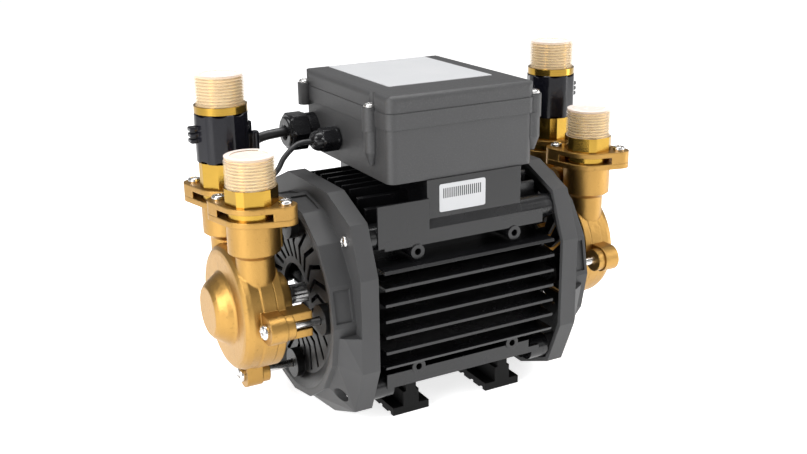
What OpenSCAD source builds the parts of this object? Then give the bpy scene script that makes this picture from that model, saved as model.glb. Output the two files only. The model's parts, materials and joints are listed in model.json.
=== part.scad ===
// Twin impeller shower pump: a finned motor with a brass pump at each end.
// Lengths are in millimetres. X runs along the motor shaft, -Y is the front and Z is up.
// The shaft axis is axis_height above the floor, and the other heights are measured from it.

/* [Motor] */
// Height of the shaft axis above the floor
axis_height = 70.5; // [70.2:0.1:74]
// Half length of the finned housing
motor_half_length = 58; // [57:0.5:62]
// Outer radius of the housing tube under the fins
housing_tube_r = 50.5; // [50:0.25:51.5]
// Wall of the housing tube
housing_wall = 4.3; // [4:0.1:5]
// Distance between neighbouring fins
fin_pitch = 9.7; // [9.5:0.1:9.9]
// Thickness of one fin
fin_thickness = 1.8; // [1.4:0.1:2.4]
// Stator stack half length
stator_half_length = 32; // [28:0.5:33]
// Rotor radius
rotor_r = 26.6; // [24:0.2:27]
// Air gap between rotor and stator
air_gap = 0.4; // [0.3:0.1:0.6]
// Shaft radius
shaft_r = 6; // [5:0.25:6.25]

/* [End covers] */
// Half width of the outer band of an end cover
band_half = 69; // [68:0.5:70]
// Half length of the flat side of the outer band
band_flat = 28; // [26:1:30]
// Distance of the band's corner points from the axis, along Y and Z
band_corner = 57; // [57:0.5:58]
// Depth of the outer band
band_depth = 11; // [10.5:0.5:12]
// Circumscribed radius of the inner sixteen sided band
inner_band_r = 62.5; // [62:0.25:63.5]
// Depth of the whole end cover
cover_depth = 25; // [24.5:0.5:26]
// Wall of the end covers
cover_wall = 2.6; // [2.2:0.1:3]
// Number of bent louvre slots in an end cover
louvre_count = 24; // [16:4:24]

/* [Pumps] */
// Outer radius of the pump drum
drum_r = 38.5; // [38:0.25:39]
// Radius of the circle the pump bolts sit on
bolt_circle_r = 45; // [44.75:0.25:45.5]
// Pump bolt radius
bolt_r = 2.4; // [2:0.1:2.5]
// Gap between the end cover and the pump's back plate
pump_standoff = 18; // [17:0.5:20]
// Back plate thickness
back_plate_thickness = 5; // [4.5:0.25:6]
// Length of the pump drum
drum_length = 19; // [18.5:0.25:20]
// Depth of the round nose in front of the drum
nose_length = 10; // [9:0.5:11]
// Impeller radius
impeller_r = 28; // [26:0.5:28.5]

/* [Ports] */
// Distance of a port axis from the shaft axis
port_y = 21.25; // [21.25:0.25:22]
// Radius of the upper neck
wide_neck_r = 15; // [14.75:0.25:15.5]
// Radius of the lower neck
narrow_neck_r = 11; // [10.75:0.25:11.25]
// Height where the neck widens
neck_step_z = 40.4; // [39.5:0.1:41]
// Height of the underside of the oval flange
flange_z = 57.7; // [57.5:0.1:59]
// Thickness of the oval flange on the pump
flange_thickness = 3.5; // [3:0.25:4]
// Height of the window in the port clamp
window_height = 4.3; // [4:0.1:4.8]
// Thickness of the clamp's top plate
clamp_plate = 3.2; // [2.8:0.1:3.6]
// Half distance between the two clamp screws
clamp_screw_reach = 20.3; // [20.1:0.1:21]
// Height of the front hexagon
front_hex_height = 9.3; // [8:0.5:11]
// Height of the rear hexagon under a flow switch
rear_hex_height = 15; // [14:0.5:16]
// Across flats of the hexagons
hex_flats = 28.2; // [27.8:0.1:28.4]
// Outer radius of the pipe thread
thread_r = 13.2; // [13.1:0.05:13.3]
// Height of a thread protector cap
cap_height = 17.5; // [16.5:0.5:19]
// Wall of a thread protector cap
cap_wall = 0.8; // [0.7:0.05:0.9]

/* [Flow switches] */
// Height of the black switch sleeve
sleeve_height = 28.6; // [28:0.2:31]
// Outer radius of the switch sleeve
sleeve_r = 15.8; // [15.5:0.1:16.1]
// Height of the brass ring over the sleeve
ring_height = 4.3; // [3.5:0.1:5]
// Lift of the magnet float
float_travel = 8; // [6:0.5:9]

/* [Terminal box] */
// Half width of the terminal box along the shaft
box_half_x = 49.15; // [48.5:0.05:50]
// Half depth of the terminal box
box_half_y = 57.3; // [57:0.1:58.5]
// Height of the box floor above the end covers
box_rise = 7.1; // [6.5:0.1:8]
// Height of the plain wall under the rim band
box_wall_height = 30.7; // [30:0.1:33]
// Height of the rim band
box_rim_height = 9.2; // [8.6:0.2:10]
// Height of the lid
lid_height = 9.8; // [9:0.2:11]
// Wall of the box and lid
box_wall = 2.6; // [2.2:0.1:3]

/* [Feet] */
// Width of a rubber foot rail
foot_width = 24.7; // [22:0.1:27]
// Distance of a foot rail's middle from the centre
foot_x = 33; // [31:0.5:35]
// Half length of a foot rail
foot_half_y = 50; // [48:0.5:54]

/* [Cables] */
// Mains flex diameter
cord_d = 6; // [5.5:0.1:6.1]
// Flow switch lead diameter
lead_d = 3.2; // [2.8:0.1:3.4]
// Least loop radius of the wound flex
coil_inner_r = 27; // [26:0.5:28]

/* [Hidden] */

$fn = 48;
overrun = 1;
fit_gap = 0.05;
free_gap = 0.3;
running_gap = 0.05;

bracket_thickness = 4;
cover_gap = 1;
dish_depth = 4;
hub_length = 13;
port_inset = 5.7;
lug_depth = 10;
front_wall = 10;

bracket_face = motor_half_length + bracket_thickness;
cover_start = bracket_face + cover_gap;
cover_face = cover_start + cover_depth;
band_end = cover_start + band_depth;
dish_floor = cover_face - dish_depth;
back_plate_x = cover_face + pump_standoff;
hub_x = back_plate_x - hub_length;
drum_x = back_plate_x + back_plate_thickness;
drum_face = drum_x + drum_length;
nose_end = drum_face + nose_length;
chamber_end = drum_face - front_wall;
port_x = drum_x + port_inset;
bolt_head_x = drum_x + lug_depth;

flange_top = flange_z + flange_thickness;
clamp_top = flange_top + window_height + clamp_plate;
front_hex_top = clamp_top + front_hex_height;
rear_hex_top = clamp_top + rear_hex_height;
sleeve_top = rear_hex_top + sleeve_height;
ring_top = sleeve_top + ring_height;
box_z = band_half + box_rise;
rim_z = box_z + box_wall_height;
box_top = rim_z + box_rim_height;
lid_top = box_top + lid_height;

brass = [0.82, 0.63, 0.3];
bright_brass = [0.9, 0.72, 0.25];
black_plastic = [0.1, 0.1, 0.11];
grey_plastic = [0.24, 0.24, 0.25];
dark_metal = [0.14, 0.14, 0.15];
steel = [0.75, 0.76, 0.78];
copper = [0.72, 0.4, 0.2];
rubber = [0.07, 0.07, 0.07];
clear_plastic = [0.95, 0.9, 0.88];
board_green = [0.1, 0.35, 0.2];
white = [0.95, 0.95, 0.93];

// Shared shapes

module raised() translate([0, 0, axis_height]) children();

module at_end(side) rotate([0, 0, side > 0 ? 0 : 180]) children();

module both_ends() for (side = [-1, 1]) at_end(side) children();

module rod_x(r, from, to) translate([from, 0, 0]) rotate([0, 90, 0]) cylinder(r = r, h = to - from);

module rod_z(r, from, to) translate([0, 0, from]) cylinder(r = r, h = to - from);

module ring_x(outer, inner, from, to) difference() {
  rod_x(outer, from, to);
  rod_x(inner, from - overrun, to + overrun);
}

module plate_x(from, to) translate([from, 0, 0]) rotate([90, 0, 90]) linear_extrude(to - from) children();

module turned_x() rotate([0, 90, 0]) rotate_extrude() children();

module block(low, high) translate(low) cube(high - low);

module four_around(r) for (angle = [0:90:270]) rotate([angle, 0, 0]) translate([0, r, 0]) children();

module pan_head_x(r, from, height) difference() {
  rod_x(r, from, from + height);
  for (turn = [0, 90])
    translate([from + height, 0, 0]) rotate([turn, 0, 0]) cube([height, r, r / 4], center = true);
}

module pan_head_z(r, from, height) translate([0, 0, from]) difference() {
  cylinder(r = r, h = height);
  for (turn = [0, 90])
    translate([0, 0, height]) rotate([0, 0, turn]) cube([r, r / 4, height], center = true);
}

// Outline of the outer band, a square with twice cut corners, drawn smaller by the inset
function band_points(inset) =
  let (k = (band_half - inset) / band_half,
       side = [[band_half, band_flat], [band_corner, band_corner], [band_flat, band_half]])
  [for (turn = [0:90:270], p = side)
    k * [p.x * cos(turn) - p.y * sin(turn), p.x * sin(turn) + p.y * cos(turn)]];

module band_outline(inset) polygon(band_points(inset));

inner_sides = 16;
inner_flat_r = inner_band_r * cos(180 / inner_sides);

function inner_corner(i) = [cos(360 * i / inner_sides), sin(360 * i / inner_sides)];

module inner_outline(inset) polygon([for (i = [1:inner_sides]) (inner_band_r - inset) * inner_corner(i)]);

// Corner bolts join the housing, the bearing brackets and the end covers
corner_y = 51.5;
corner_z = 46.5;
corner_r = 7.5;
cover_screw_r = 1.9;
screw_hole_r = cover_screw_r + fit_gap;

module at_corners() for (y = [-1, 1], z = [-1, 1]) translate([0, y * corner_y, z * corner_z]) children();

// Finned motor housing
fin_inset = 1.5;
side_fin_steps = 3;
top_fin_steps = 4.5;
housing_bore = housing_tube_r - housing_wall;
pedestal_low_x = -25;
pedestal_high_x = 39;
pedestal_half_y = box_half_y;
panel_relief = 2.5;
panel_y = pedestal_half_y + panel_relief;
ledge_z = 41;
ledge_top = 48;
slope_top = 53;
ledge_half_x = 54;
ledge_web = 1.8;
slab_z = 46;
slab_thickness = 4;
strip_height = 9;
strip_end_x = 46;
plate_low_x = -motor_half_length;
plate_top = 66;
stud_x = 33.1;
stud_z = 35.9;
stud_relief = 0.7;
stud_face_y = panel_y + stud_relief;
stud_lug_r = 4.4;
stud_hole_r = 2;
stud_lug_depth = 22;
stud_hole_depth = 8;
long_boss = 24;
short_boss = 9;
wire_hole_r = 6;

module side_fins() for (step = [-side_fin_steps:side_fin_steps])
  block([-motor_half_length, -band_half, step * fin_pitch - fin_thickness / 2],
        [motor_half_length, band_half, step * fin_pitch + fin_thickness / 2]);

module top_fins() for (step = [-top_fin_steps:top_fin_steps])
  block([-motor_half_length, step * fin_pitch - fin_thickness / 2, 0],
        [motor_half_length, step * fin_pitch + fin_thickness / 2, band_half]);

module corner_bosses(r) both_ends() {
  at_corners() rod_x(r, motor_half_length - short_boss, motor_half_length);
  for (y = [-1, 1])
    translate([0, y * corner_y, corner_z]) rod_x(r, motor_half_length - long_boss, motor_half_length);
}

module stud_lugs(r, depth) for (x = [-1, 1], z = [-1, 1])
  translate([x * stud_x, -stud_face_y, z * stud_z]) rotate([-90, 0, 0]) cylinder(r = r, h = depth);

// Stepped front of the pedestal, the same at the back
module pedestal() {
  block([pedestal_low_x, -pedestal_half_y, ledge_z], [pedestal_high_x, pedestal_half_y, box_z]);
  plate_x(pedestal_low_x, pedestal_high_x)
    polygon([[-panel_y, ledge_top], [panel_y, ledge_top],
             [pedestal_half_y, slope_top], [-pedestal_half_y, slope_top]]);
  block([-ledge_half_x, -panel_y, ledge_z - ledge_web], [ledge_half_x, panel_y, ledge_z]);
  for (y = [-panel_y, panel_y - ledge_web])
    block([-ledge_half_x, y, ledge_z - ledge_web], [ledge_half_x, y + ledge_web, ledge_top]);
  block([pedestal_low_x, -panel_y, ledge_z], [pedestal_high_x, panel_y, ledge_top]);
  block([plate_low_x, -panel_y, ledge_z], [pedestal_low_x, -panel_y + ledge_web, plate_top]);
}

module slab() {
  block([-ledge_half_x, -panel_y, -slab_z], [ledge_half_x, panel_y, -slab_z + slab_thickness]);
  for (y = [-panel_y, panel_y - ledge_web])
    block([-ledge_half_x, y, -slab_z], [strip_end_x, y + ledge_web, -slab_z + strip_height]);
}

module motor_housing() color(dark_metal) raised() difference() {
  union() {
    rod_x(housing_tube_r, -motor_half_length, motor_half_length);
    intersection() {
      union() {
        side_fins();
        top_fins();
      }
      plate_x(-motor_half_length, motor_half_length) band_outline(fin_inset);
    }
    pedestal();
    slab();
    corner_bosses(corner_r);
    stud_lugs(stud_lug_r, stud_lug_depth);
  }
  rod_x(housing_bore, -motor_half_length - overrun, motor_half_length + overrun);
  corner_bosses(screw_hole_r);
  stud_lugs(stud_hole_r, stud_hole_depth);
  rod_z(wire_hole_r, 0, box_z + overrun);
  foot_keys(fit_gap);
}

// Stator and rotor
stator_slots = 12;
slot_r = 36;
slot_half_width = 3.2;
slot_half_height = 5;
winding_length = 14;
winding_wall = 1;
rotor_margin = 2;

module winding_bars(grow) for (i = [1:stator_slots])
  rotate([360 * (i + 0.5) / stator_slots, 0, 0]) translate([0, slot_r, 0])
    cube([2 * (stator_half_length + grow) + winding_wall, 2 * (slot_half_height + grow),
          2 * (slot_half_width + grow)], center = true);

module stator_core() color(steel) raised() difference() {
  rod_x(housing_bore - fit_gap, -stator_half_length, stator_half_length);
  rod_x(rotor_r + air_gap, -stator_half_length - overrun, stator_half_length + overrun);
  winding_bars(fit_gap);
}

module stator_windings() color(copper) raised() {
  winding_bars(0);
  both_ends() ring_x(slot_r + slot_half_height + winding_wall, slot_r - slot_half_height - winding_wall,
                     stator_half_length + fit_gap, stator_half_length + winding_length);
}

module rotor_core() color(steel) raised()
  ring_x(rotor_r, shaft_r, rotor_margin - stator_half_length, stator_half_length - rotor_margin);

impeller_gap = 0.5;
impeller_x = drum_x + impeller_gap;
impeller_top = chamber_end - impeller_gap;

module motor_shaft() color(steel) raised() rod_x(shaft_r, -impeller_top, impeller_top);

// Bearings and the brackets that carry them
bearing_r = 16;
bearing_width = 10;
bracket_web = 2;
hub_wall = 5;
spigot_depth = 3;
spigot_wall = 4;
bearing_x = bracket_face - bracket_web - bearing_width;
boss_r = 6;
boss_depth = 8;
boss_end = bracket_face + boss_depth;
tap_depth = 6;
ear_half = 5;

module bearings() color(steel) raised()
  both_ends() ring_x(bearing_r, shaft_r + running_gap, bearing_x, bearing_x + bearing_width);

module bearing_bracket(side) raised() at_end(side) difference() {
  union() {
    rod_x(housing_tube_r, motor_half_length, bracket_face);
    rod_x(bearing_r + hub_wall, bearing_x, bracket_face);
    ring_x(housing_bore - fit_gap, housing_bore - spigot_wall,
           motor_half_length - spigot_depth, bracket_face);
    at_corners() rod_x(corner_r, motor_half_length, bracket_face);
    for (z = [-corner_z, corner_z])
      block([motor_half_length, -corner_y, z - ear_half], [bracket_face, corner_y, z + ear_half]);
    four_around(bolt_circle_r) rod_x(boss_r, motor_half_length, boss_end);
  }
  rod_x(bearing_r + fit_gap, bearing_x - overrun, bearing_x + bearing_width + fit_gap);
  rod_x(shaft_r + bracket_web, bearing_x, bracket_face + overrun);
  four_around(bolt_circle_r) rod_x(bolt_r + fit_gap, boss_end - tap_depth, boss_end + overrun);
  at_corners() rod_x(screw_hole_r, motor_half_length - overrun, bracket_face + overrun);
}

module bearing_bracket_left() color(dark_metal) bearing_bracket(-1);
module bearing_bracket_right() color(dark_metal) bearing_bracket(1);

// End covers
louvre_inner_r = 23;
louvre_bend_r = 33;
louvre_outer_r = 47;
louvre_half_width = 1.5;
louvre_lean = 9;
cover_boss_r = 9;
cover_boss_rise = 1;
cover_opening_r = 19;
post_r = 6;
dish_r = 49;
dish_rim_r = 57.5;
blend_start = 0.5;
blend_depth = 4;
blend_top = 6;
head_pocket_r = 4.4;
pocket_depth = 1.2;
pocket_half_y = 9.5;
pocket_margin = 2;

function louvre_points() =
  let (root = [louvre_inner_r, 0], tip = [louvre_outer_r, 0], w = [0, louvre_half_width],
       bend = louvre_bend_r * [cos(louvre_lean), sin(louvre_lean)])
  [root - w, bend - w, tip - w, tip + w, bend + w, root + w];

module louvres() for (i = [1:louvre_count]) rotate(360 * (i + 0.5) / louvre_count) polygon(louvre_points());

module lower_blend() intersection() {
  hull() {
    plate_x(band_end - blend_start, band_end) band_outline(0);
    plate_x(cover_face - blend_depth, cover_face - blend_depth + blend_start) inner_outline(0);
  }
  block([cover_start, -band_half, -band_half], [cover_face, band_half, -blend_top]);
}

module cover_shell() difference() {
  union() {
    plate_x(cover_start, band_end) band_outline(0);
    plate_x(band_end - overrun, cover_face) inner_outline(0);
    lower_blend();
  }
  plate_x(cover_start - overrun, band_end - cover_wall) band_outline(cover_wall);
  plate_x(cover_start, dish_floor - cover_wall) inner_outline(cover_wall);
  turned_x() polygon([[0, dish_floor], [dish_r, dish_floor], [dish_rim_r, cover_face],
                      [dish_rim_r, cover_face + overrun], [0, cover_face + overrun]]);
  for (angle = [1, inner_sides / 2 - 1, inner_sides / 2 + 1, inner_sides - 1])
    rotate([180 * angle / inner_sides, 0, 0])
      block([band_end + pocket_margin, inner_flat_r - pocket_depth, -pocket_half_y],
            [cover_face - pocket_margin, inner_flat_r + overrun, pocket_half_y]);
  at_corners() rod_x(head_pocket_r, band_end, cover_face);
}

module end_cover(side) raised() at_end(side) difference() {
  union() {
    difference() {
      cover_shell();
      plate_x(dish_floor - cover_wall - overrun, dish_floor + overrun) louvres();
    }
    four_around(bolt_circle_r) rod_x(cover_boss_r, boss_end, cover_face + cover_boss_rise);
    at_corners() rod_x(post_r, bracket_face, band_end - overrun);
  }
  rod_x(cover_opening_r, bracket_face, cover_face + overrun);
  four_around(bolt_circle_r) rod_x(bolt_r + free_gap, bracket_face, cover_face + cover_boss_rise + overrun);
  at_corners() rod_x(screw_hole_r, bracket_face - overrun, cover_face);
}

module end_cover_left() color(grey_plastic) end_cover(-1);
module end_cover_right() color(grey_plastic) end_cover(1);

cover_head_r = 3.4;
cover_head_height = 2.4;
cover_screw_grip = 6;

module cover_screws() color(steel) raised() both_ends() at_corners() {
  rod_x(cover_screw_r, motor_half_length - cover_screw_grip, band_end);
  pan_head_x(cover_head_r, band_end, cover_head_height);
}

fan_gap = 3;
fan_depth = 12;
fan_r = 34;
fan_hub_r = 11;
fan_disc = 2;
fan_blades = 8;
fan_x = bracket_face + fan_gap;

module cooling_fan() color(black_plastic) raised() at_end(-1) difference() {
  union() {
    rod_x(fan_hub_r, fan_x, fan_x + fan_depth);
    rod_x(fan_r, fan_x, fan_x + fan_disc);
    for (i = [1:fan_blades])
      rotate([360 * i / fan_blades, 0, 0])
        block([fan_x, fan_hub_r - overrun, -fan_disc / 2],
              [fan_x + fan_depth - fan_disc, fan_r, fan_disc / 2]);
  }
  rod_x(shaft_r, fan_x - overrun, fan_x + fan_depth + overrun);
}

// Rubber feet
foot_base = 5;
foot_web_half = 5.3;
foot_neck_height = 10;
foot_neck_half = 3.5;
sole_ribs = 9;
groove_width = 4;
groove_depth = 1.5;
key_half_x = 2;
key_inner_y = 28;
key_outer_y = 44;
key_height = 3;

module foot_key(x, grow) for (flip = [0, 1]) mirror([0, flip, 0])
  block([x - key_half_x - grow, key_inner_y - grow, -slab_z - overrun],
        [x + key_half_x + grow, key_outer_y + grow, -slab_z + key_height + grow]);

module foot_keys(grow) for (side = [-1, 1]) foot_key(side * foot_x, grow);

module foot(x) raised() difference() {
  union() {
    block([x - foot_width / 2, -foot_half_y, -axis_height],
          [x + foot_width / 2, foot_half_y, foot_base - axis_height]);
    block([x - foot_web_half, -foot_half_y, -axis_height],
          [x + foot_web_half, foot_half_y, -slab_z - foot_neck_height]);
    block([x - foot_neck_half, -foot_half_y, -axis_height], [x + foot_neck_half, foot_half_y, -slab_z]);
    foot_key(x, 0);
  }
  rod_x(housing_tube_r, -motor_half_length, motor_half_length);
  for (i = [1:sole_ribs])
    translate([x, foot_half_y * (2 * i - 1 - sole_ribs) / sole_ribs, -axis_height])
      cube([2 * foot_width, groove_width, 2 * groove_depth], center = true);
}

module foot_left() color(rubber) foot(-foot_x);
module foot_right() color(rubber) foot(foot_x);

// Terminal box
box_corner_r = 5;
inner_corner_r = 2;
rim_step = 0.8;
wall_margin = 1;
ear_r = 4.4;
ear_x = box_half_x + 1;
ear_skirt = 3;
column_depth = 15;
column_taper = 8;
column_tip_r = 1.6;
lid_screw_r = 1.5;
lid_screw_depth = 8;
gasket_depth = 1.6;
gasket_inset = 2.2;
gasket_width = 1.4;
gasket_corner_r = 4;
ear_front_inset = 4.3;
ear_rear_inset = 20.3;
ear_front_y = box_half_y - ear_front_inset;
ear_rear_y = box_half_y - ear_rear_inset;
ear_spots = [[-1, -ear_rear_y], [-1, ear_front_y], [1, -ear_front_y], [1, ear_rear_y]];
mains_gland_inset = 11.8;
mains_gland_rise = 12.9;
lead_gland_rise = 13.9;
mains_gland_y = box_half_y - mains_gland_inset;
mains_gland_z = box_z + mains_gland_rise;
lead_gland_y = 10;
lead_gland_z = box_z + lead_gland_rise;
mains_thread_r = 8;
lead_thread_r = 4.5;
gland_reach = 5;

module rounded_rectangle(half_x, half_y, r) {
  square([2 * half_x, 2 * (half_y - r)], center = true);
  square([2 * (half_x - r), 2 * half_y], center = true);
  for (x = [-1, 1], y = [-1, 1]) translate([x * (half_x - r), y * (half_y - r)]) circle(r);
}

module box_slice(from, to, inset, r) translate([0, 0, from])
  linear_extrude(to - from) rounded_rectangle(box_half_x - inset, box_half_y - inset, r);

module at_ears() for (spot = ear_spots) translate([spot.x * ear_x, spot.y, 0]) children();

module gasket_outline(inset, r) rounded_rectangle(box_half_x - inset, box_half_y - inset, r);

module gasket_ring(grow, height) translate([0, 0, box_top - gasket_depth])
  linear_extrude(height) difference() {
    gasket_outline(gasket_inset - grow, gasket_corner_r);
    gasket_outline(gasket_inset + gasket_width + grow, inner_corner_r);
  }

module front_column(spot) translate([spot.x * (ear_x - rim_step), spot.y, 0]) {
  rod_z(ear_r, rim_z - column_depth, rim_z);
  translate([0, 0, rim_z - column_depth - column_taper])
    cylinder(r1 = column_tip_r, r2 = ear_r, h = column_taper);
}

module terminal_box() color(grey_plastic) raised() difference() {
  union() {
    box_slice(box_z, rim_z, rim_step, box_corner_r);
    box_slice(rim_z, box_top, 0, box_corner_r);
    at_ears() rod_z(ear_r, rim_z - ear_skirt, box_top);
    front_column(ear_spots[0]);
    front_column(ear_spots[2]);
  }
  box_slice(box_z + box_wall, box_top + overrun, rim_step + box_wall + wall_margin, inner_corner_r);
  gasket_ring(fit_gap, gasket_depth + overrun);
  at_ears() rod_z(lid_screw_r + fit_gap, box_top - lid_screw_depth, box_top + overrun);
  mirror([1, 0, 0]) translate([0, mains_gland_y, mains_gland_z])
    rod_x(mains_thread_r + fit_gap, box_half_x - gland_reach, box_half_x);
  for (side = [-1, 1])
    at_end(side) translate([0, side * lead_gland_y, lead_gland_z])
      rod_x(lead_thread_r + fit_gap, box_half_x - gland_reach, box_half_x);
  rod_z(wire_hole_r, box_z - overrun, box_z + box_wall + overrun);
}

module lid_gasket() color(rubber) raised() gasket_ring(0, gasket_depth);

lid_edge_r = 3.5;
lid_inset = 0.4;
lid_side_wall = 6;
ear_tab = 1.4;
lid_head_r = 3.4;
lid_head_height = 2.2;

module rounded_top(half_width) {
  translate([-half_width, 0]) square([2 * half_width, lid_height - lid_edge_r]);
  translate([-half_width + lid_edge_r, 0]) square([2 * (half_width - lid_edge_r), lid_height]);
  for (side = [-1, 1])
    translate([side * (half_width - lid_edge_r), lid_height - lid_edge_r]) circle(lid_edge_r);
}

module box_lid() color(grey_plastic) raised() difference() {
  union() {
    intersection() {
      box_slice(box_top, lid_top, lid_inset, box_corner_r);
      translate([0, box_half_y, box_top]) rotate([90, 0, 0])
        linear_extrude(2 * box_half_y) rounded_top(box_half_x - lid_inset);
      translate([-box_half_x, 0, box_top]) rotate([90, 0, 90])
        linear_extrude(2 * box_half_x) rounded_top(box_half_y - lid_inset);
    }
    at_ears() rod_z(ear_r, box_top, box_top + ear_tab);
  }
  box_slice(box_top - overrun, lid_top - box_wall, lid_side_wall, inner_corner_r);
  at_ears() rod_z(lid_screw_r + fit_gap, box_top - overrun, box_top + ear_tab + overrun);
  at_ears() rod_z(lid_head_r + fit_gap, box_top + ear_tab, lid_top + overrun);
}

module lid_screws() color(steel) raised() at_ears() {
  rod_z(lid_screw_r, box_top - lid_screw_depth + overrun, box_top + ear_tab);
  pan_head_z(lid_head_r, box_top + ear_tab, lid_head_height);
}

label_thickness = 0.3;
lid_label_margins = [15.15, 27.3];
lid_label_edges = [13.15, 5.3];
lid_label_low = lid_label_margins - [box_half_x, box_half_y];
lid_label_high = [box_half_x, box_half_y] - lid_label_edges;
serial_label_low = [-17, 56];
serial_label_high = [14, 72.5];

module blank_labels() color(white) raised() {
  block([lid_label_low.x, lid_label_low.y, lid_top],
        [lid_label_high.x, lid_label_high.y, lid_top + label_thickness]);
  block([serial_label_low.x, -pedestal_half_y - label_thickness, serial_label_low.y],
        [serial_label_high.x, -pedestal_half_y, serial_label_high.y]);
}

// Parts inside the terminal box
box_floor = box_z + box_wall;
capacitor_r = 14;
capacitor_margins = [17.15, 27.3];
capacitor_half_length = box_half_x - capacitor_margins.x;
capacitor_y = box_half_y - capacitor_margins.y;
board_margin = 9.15;
board_half_y = 11;
board_y = 1;
board_low = [board_margin - box_half_x, board_y - board_half_y];
board_high = [box_half_x - board_margin, board_y + board_half_y];
board_post = 6;
board_thickness = 1.6;
board_part = 9;
block_margins = [23.15, 13.3];
block_depth = 22;
block_low = block_margins - [box_half_x, box_half_y];
block_high = [box_half_x - block_margins.x, block_low.y + block_depth];
block_height = 14;
block_ways = 6;
way_r = 2.2;

module capacitor() color(white) raised() {
  translate([0, capacitor_y, box_floor + capacitor_r])
    rod_x(capacitor_r, -capacitor_half_length, capacitor_half_length);
  block([-capacitor_half_length / 2, capacitor_y - capacitor_r / 2, box_floor],
        [capacitor_half_length / 2, capacitor_y + capacitor_r / 2, box_floor + capacitor_r]);
}

module control_board() color(board_green) raised() {
  deck = box_floor + board_post;
  block([board_low.x, board_low.y, deck], [board_high.x, board_high.y, deck + board_thickness]);
  for (x = [board_low.x, board_high.x - board_post])
    block([x, board_low.y, box_floor], [x + board_post, board_high.y, deck]);
  for (i = [-1, 0, 1])
    translate([i * 2 * board_part, 0, deck + board_part / 2])
      cube([board_part, board_part, board_part], center = true);
}

way_step = (block_high.x - block_low.x) / block_ways;

module terminal_block() color(black_plastic) raised() difference() {
  block([block_low.x, block_low.y, box_floor], [block_high.x, block_high.y, box_floor + block_height]);
  middle_z = box_floor + block_height / 2;
  for (i = [1:block_ways]) translate([block_low.x + way_step * (i - 0.5), 0, middle_z]) {
    translate([0, block_low.y, 0]) rotate([90, 0, 0])
      cylinder(r = way_r, h = block_height, center = true);
    translate([0, (block_low.y + block_high.y) / 2, 0]) cylinder(r = way_r, h = block_height);
  }
}

// Cable glands
mains_collar_r = 10.5;
mains_collar_depth = 5;
mains_cap_flats = 22;
mains_cap_depth = 12.5;
mains_nose_r = 9.5;
mains_nose_depth = 1.6;
lead_collar_r = 7.5;
lead_collar_depth = 2;
lead_cap_flats = 13.5;
lead_cap_depth = 9;
lead_dome_r = 6.4;
lead_tip_r = 4;
lead_dome_depth = 6;
mains_cap_x = box_half_x + mains_collar_depth;
mains_gland_tip = mains_cap_x + mains_cap_depth + mains_nose_depth;
lead_cap_x = box_half_x + lead_collar_depth;
lead_dome_x = lead_cap_x + lead_cap_depth;
lead_gland_tip = lead_dome_x + lead_dome_depth;

module hexagon_x(flats, from, to) translate([from, 0, 0]) rotate([0, 90, 0])
  cylinder(r = flats / sqrt(3), h = to - from, $fn = 6);

module at_mains_gland() raised() mirror([1, 0, 0]) translate([0, mains_gland_y, mains_gland_z]) children();

module mains_gland_body() color(black_plastic) at_mains_gland() difference() {
  union() {
    rod_x(mains_thread_r, box_half_x - gland_reach, mains_cap_x);
    rod_x(mains_collar_r, box_half_x - rim_step, mains_cap_x);
  }
  rod_x(cord_d / 2 + free_gap, box_half_x - gland_reach - overrun, mains_cap_x + overrun);
}

module mains_gland_cap() color(black_plastic) at_mains_gland() difference() {
  union() {
    hexagon_x(mains_cap_flats, mains_cap_x, mains_cap_x + mains_cap_depth);
    rod_x(mains_nose_r, mains_cap_x, mains_gland_tip);
  }
  rod_x(cord_d / 2 + free_gap, mains_cap_x - overrun, mains_gland_tip + overrun);
}

module at_lead_gland(side) raised() at_end(side)
  translate([0, side * lead_gland_y, lead_gland_z]) children();

module lead_gland(side) at_lead_gland(side) difference() {
  union() {
    rod_x(lead_thread_r, box_half_x - gland_reach, box_half_x);
    rod_x(lead_collar_r, box_half_x - rim_step, lead_cap_x);
    hexagon_x(lead_cap_flats, lead_cap_x, lead_dome_x);
    translate([lead_dome_x, 0, 0]) rotate([0, 90, 0])
      cylinder(r1 = lead_dome_r, r2 = lead_tip_r, h = lead_dome_depth);
  }
  rod_x(lead_d / 2 + free_gap, box_half_x - gland_reach - overrun, lead_gland_tip + overrun);
}

module lead_gland_left() color(black_plastic) lead_gland(-1);
module lead_gland_right() color(black_plastic) lead_gland(1);

// Tubes swept along the cables' routes
function curve_point(a, b, c, d, t) =
  0.5 * (2 * b + (c - a) * t + (2 * a - 5 * b + 4 * c - d) * t * t + (3 * b - a - 3 * c + d) * t * t * t);

function curve(points, steps) =
  let (last = len(points) - 1)
  concat([for (i = [0:last - 1], s = [0:steps - 1])
            let (before = points[max(i - 1, 0)], after = points[min(i + 2, last)])
            curve_point(before, points[i], points[i + 1], after, s / steps)],
         [points[last]]);

function unit(v) = v / norm(v);

function ring_at(centre, along, hint, r, sides) =
  let (across = unit(cross(along, hint)), other = cross(along, across))
  [for (k = [1:sides]) centre + r * (cos(360 * k / sides) * across + sin(360 * k / sides) * other)];

function route_length(path) =
  let (steps = [for (i = [1:len(path) - 1]) norm(path[i] - path[i - 1])]) steps * [for (s = steps) 1];

module swept_tube(path, r, sides, hint) {
  last = len(path) - 1;
  headings = [for (i = [0:last]) unit(path[min(i + 1, last)] - path[max(i - 1, 0)])];
  rings = [for (i = [0:last]) ring_at(path[i], headings[i], hint, r, sides)];
  skin = [for (i = [0:last - 1], k = [0:sides - 1], lower = [true, false])
    let (a = i * sides + k, b = i * sides + (k + 1) % sides)
    lower ? [a, a + sides, b] : [b, a + sides, b + sides]];
  polyhedron([for (ring = rings, p = ring) p],
             concat(skin, [[for (k = [0:sides - 1]) k]], [[for (k = [sides - 1:-1:0]) last * sides + k]]));
}

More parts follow.
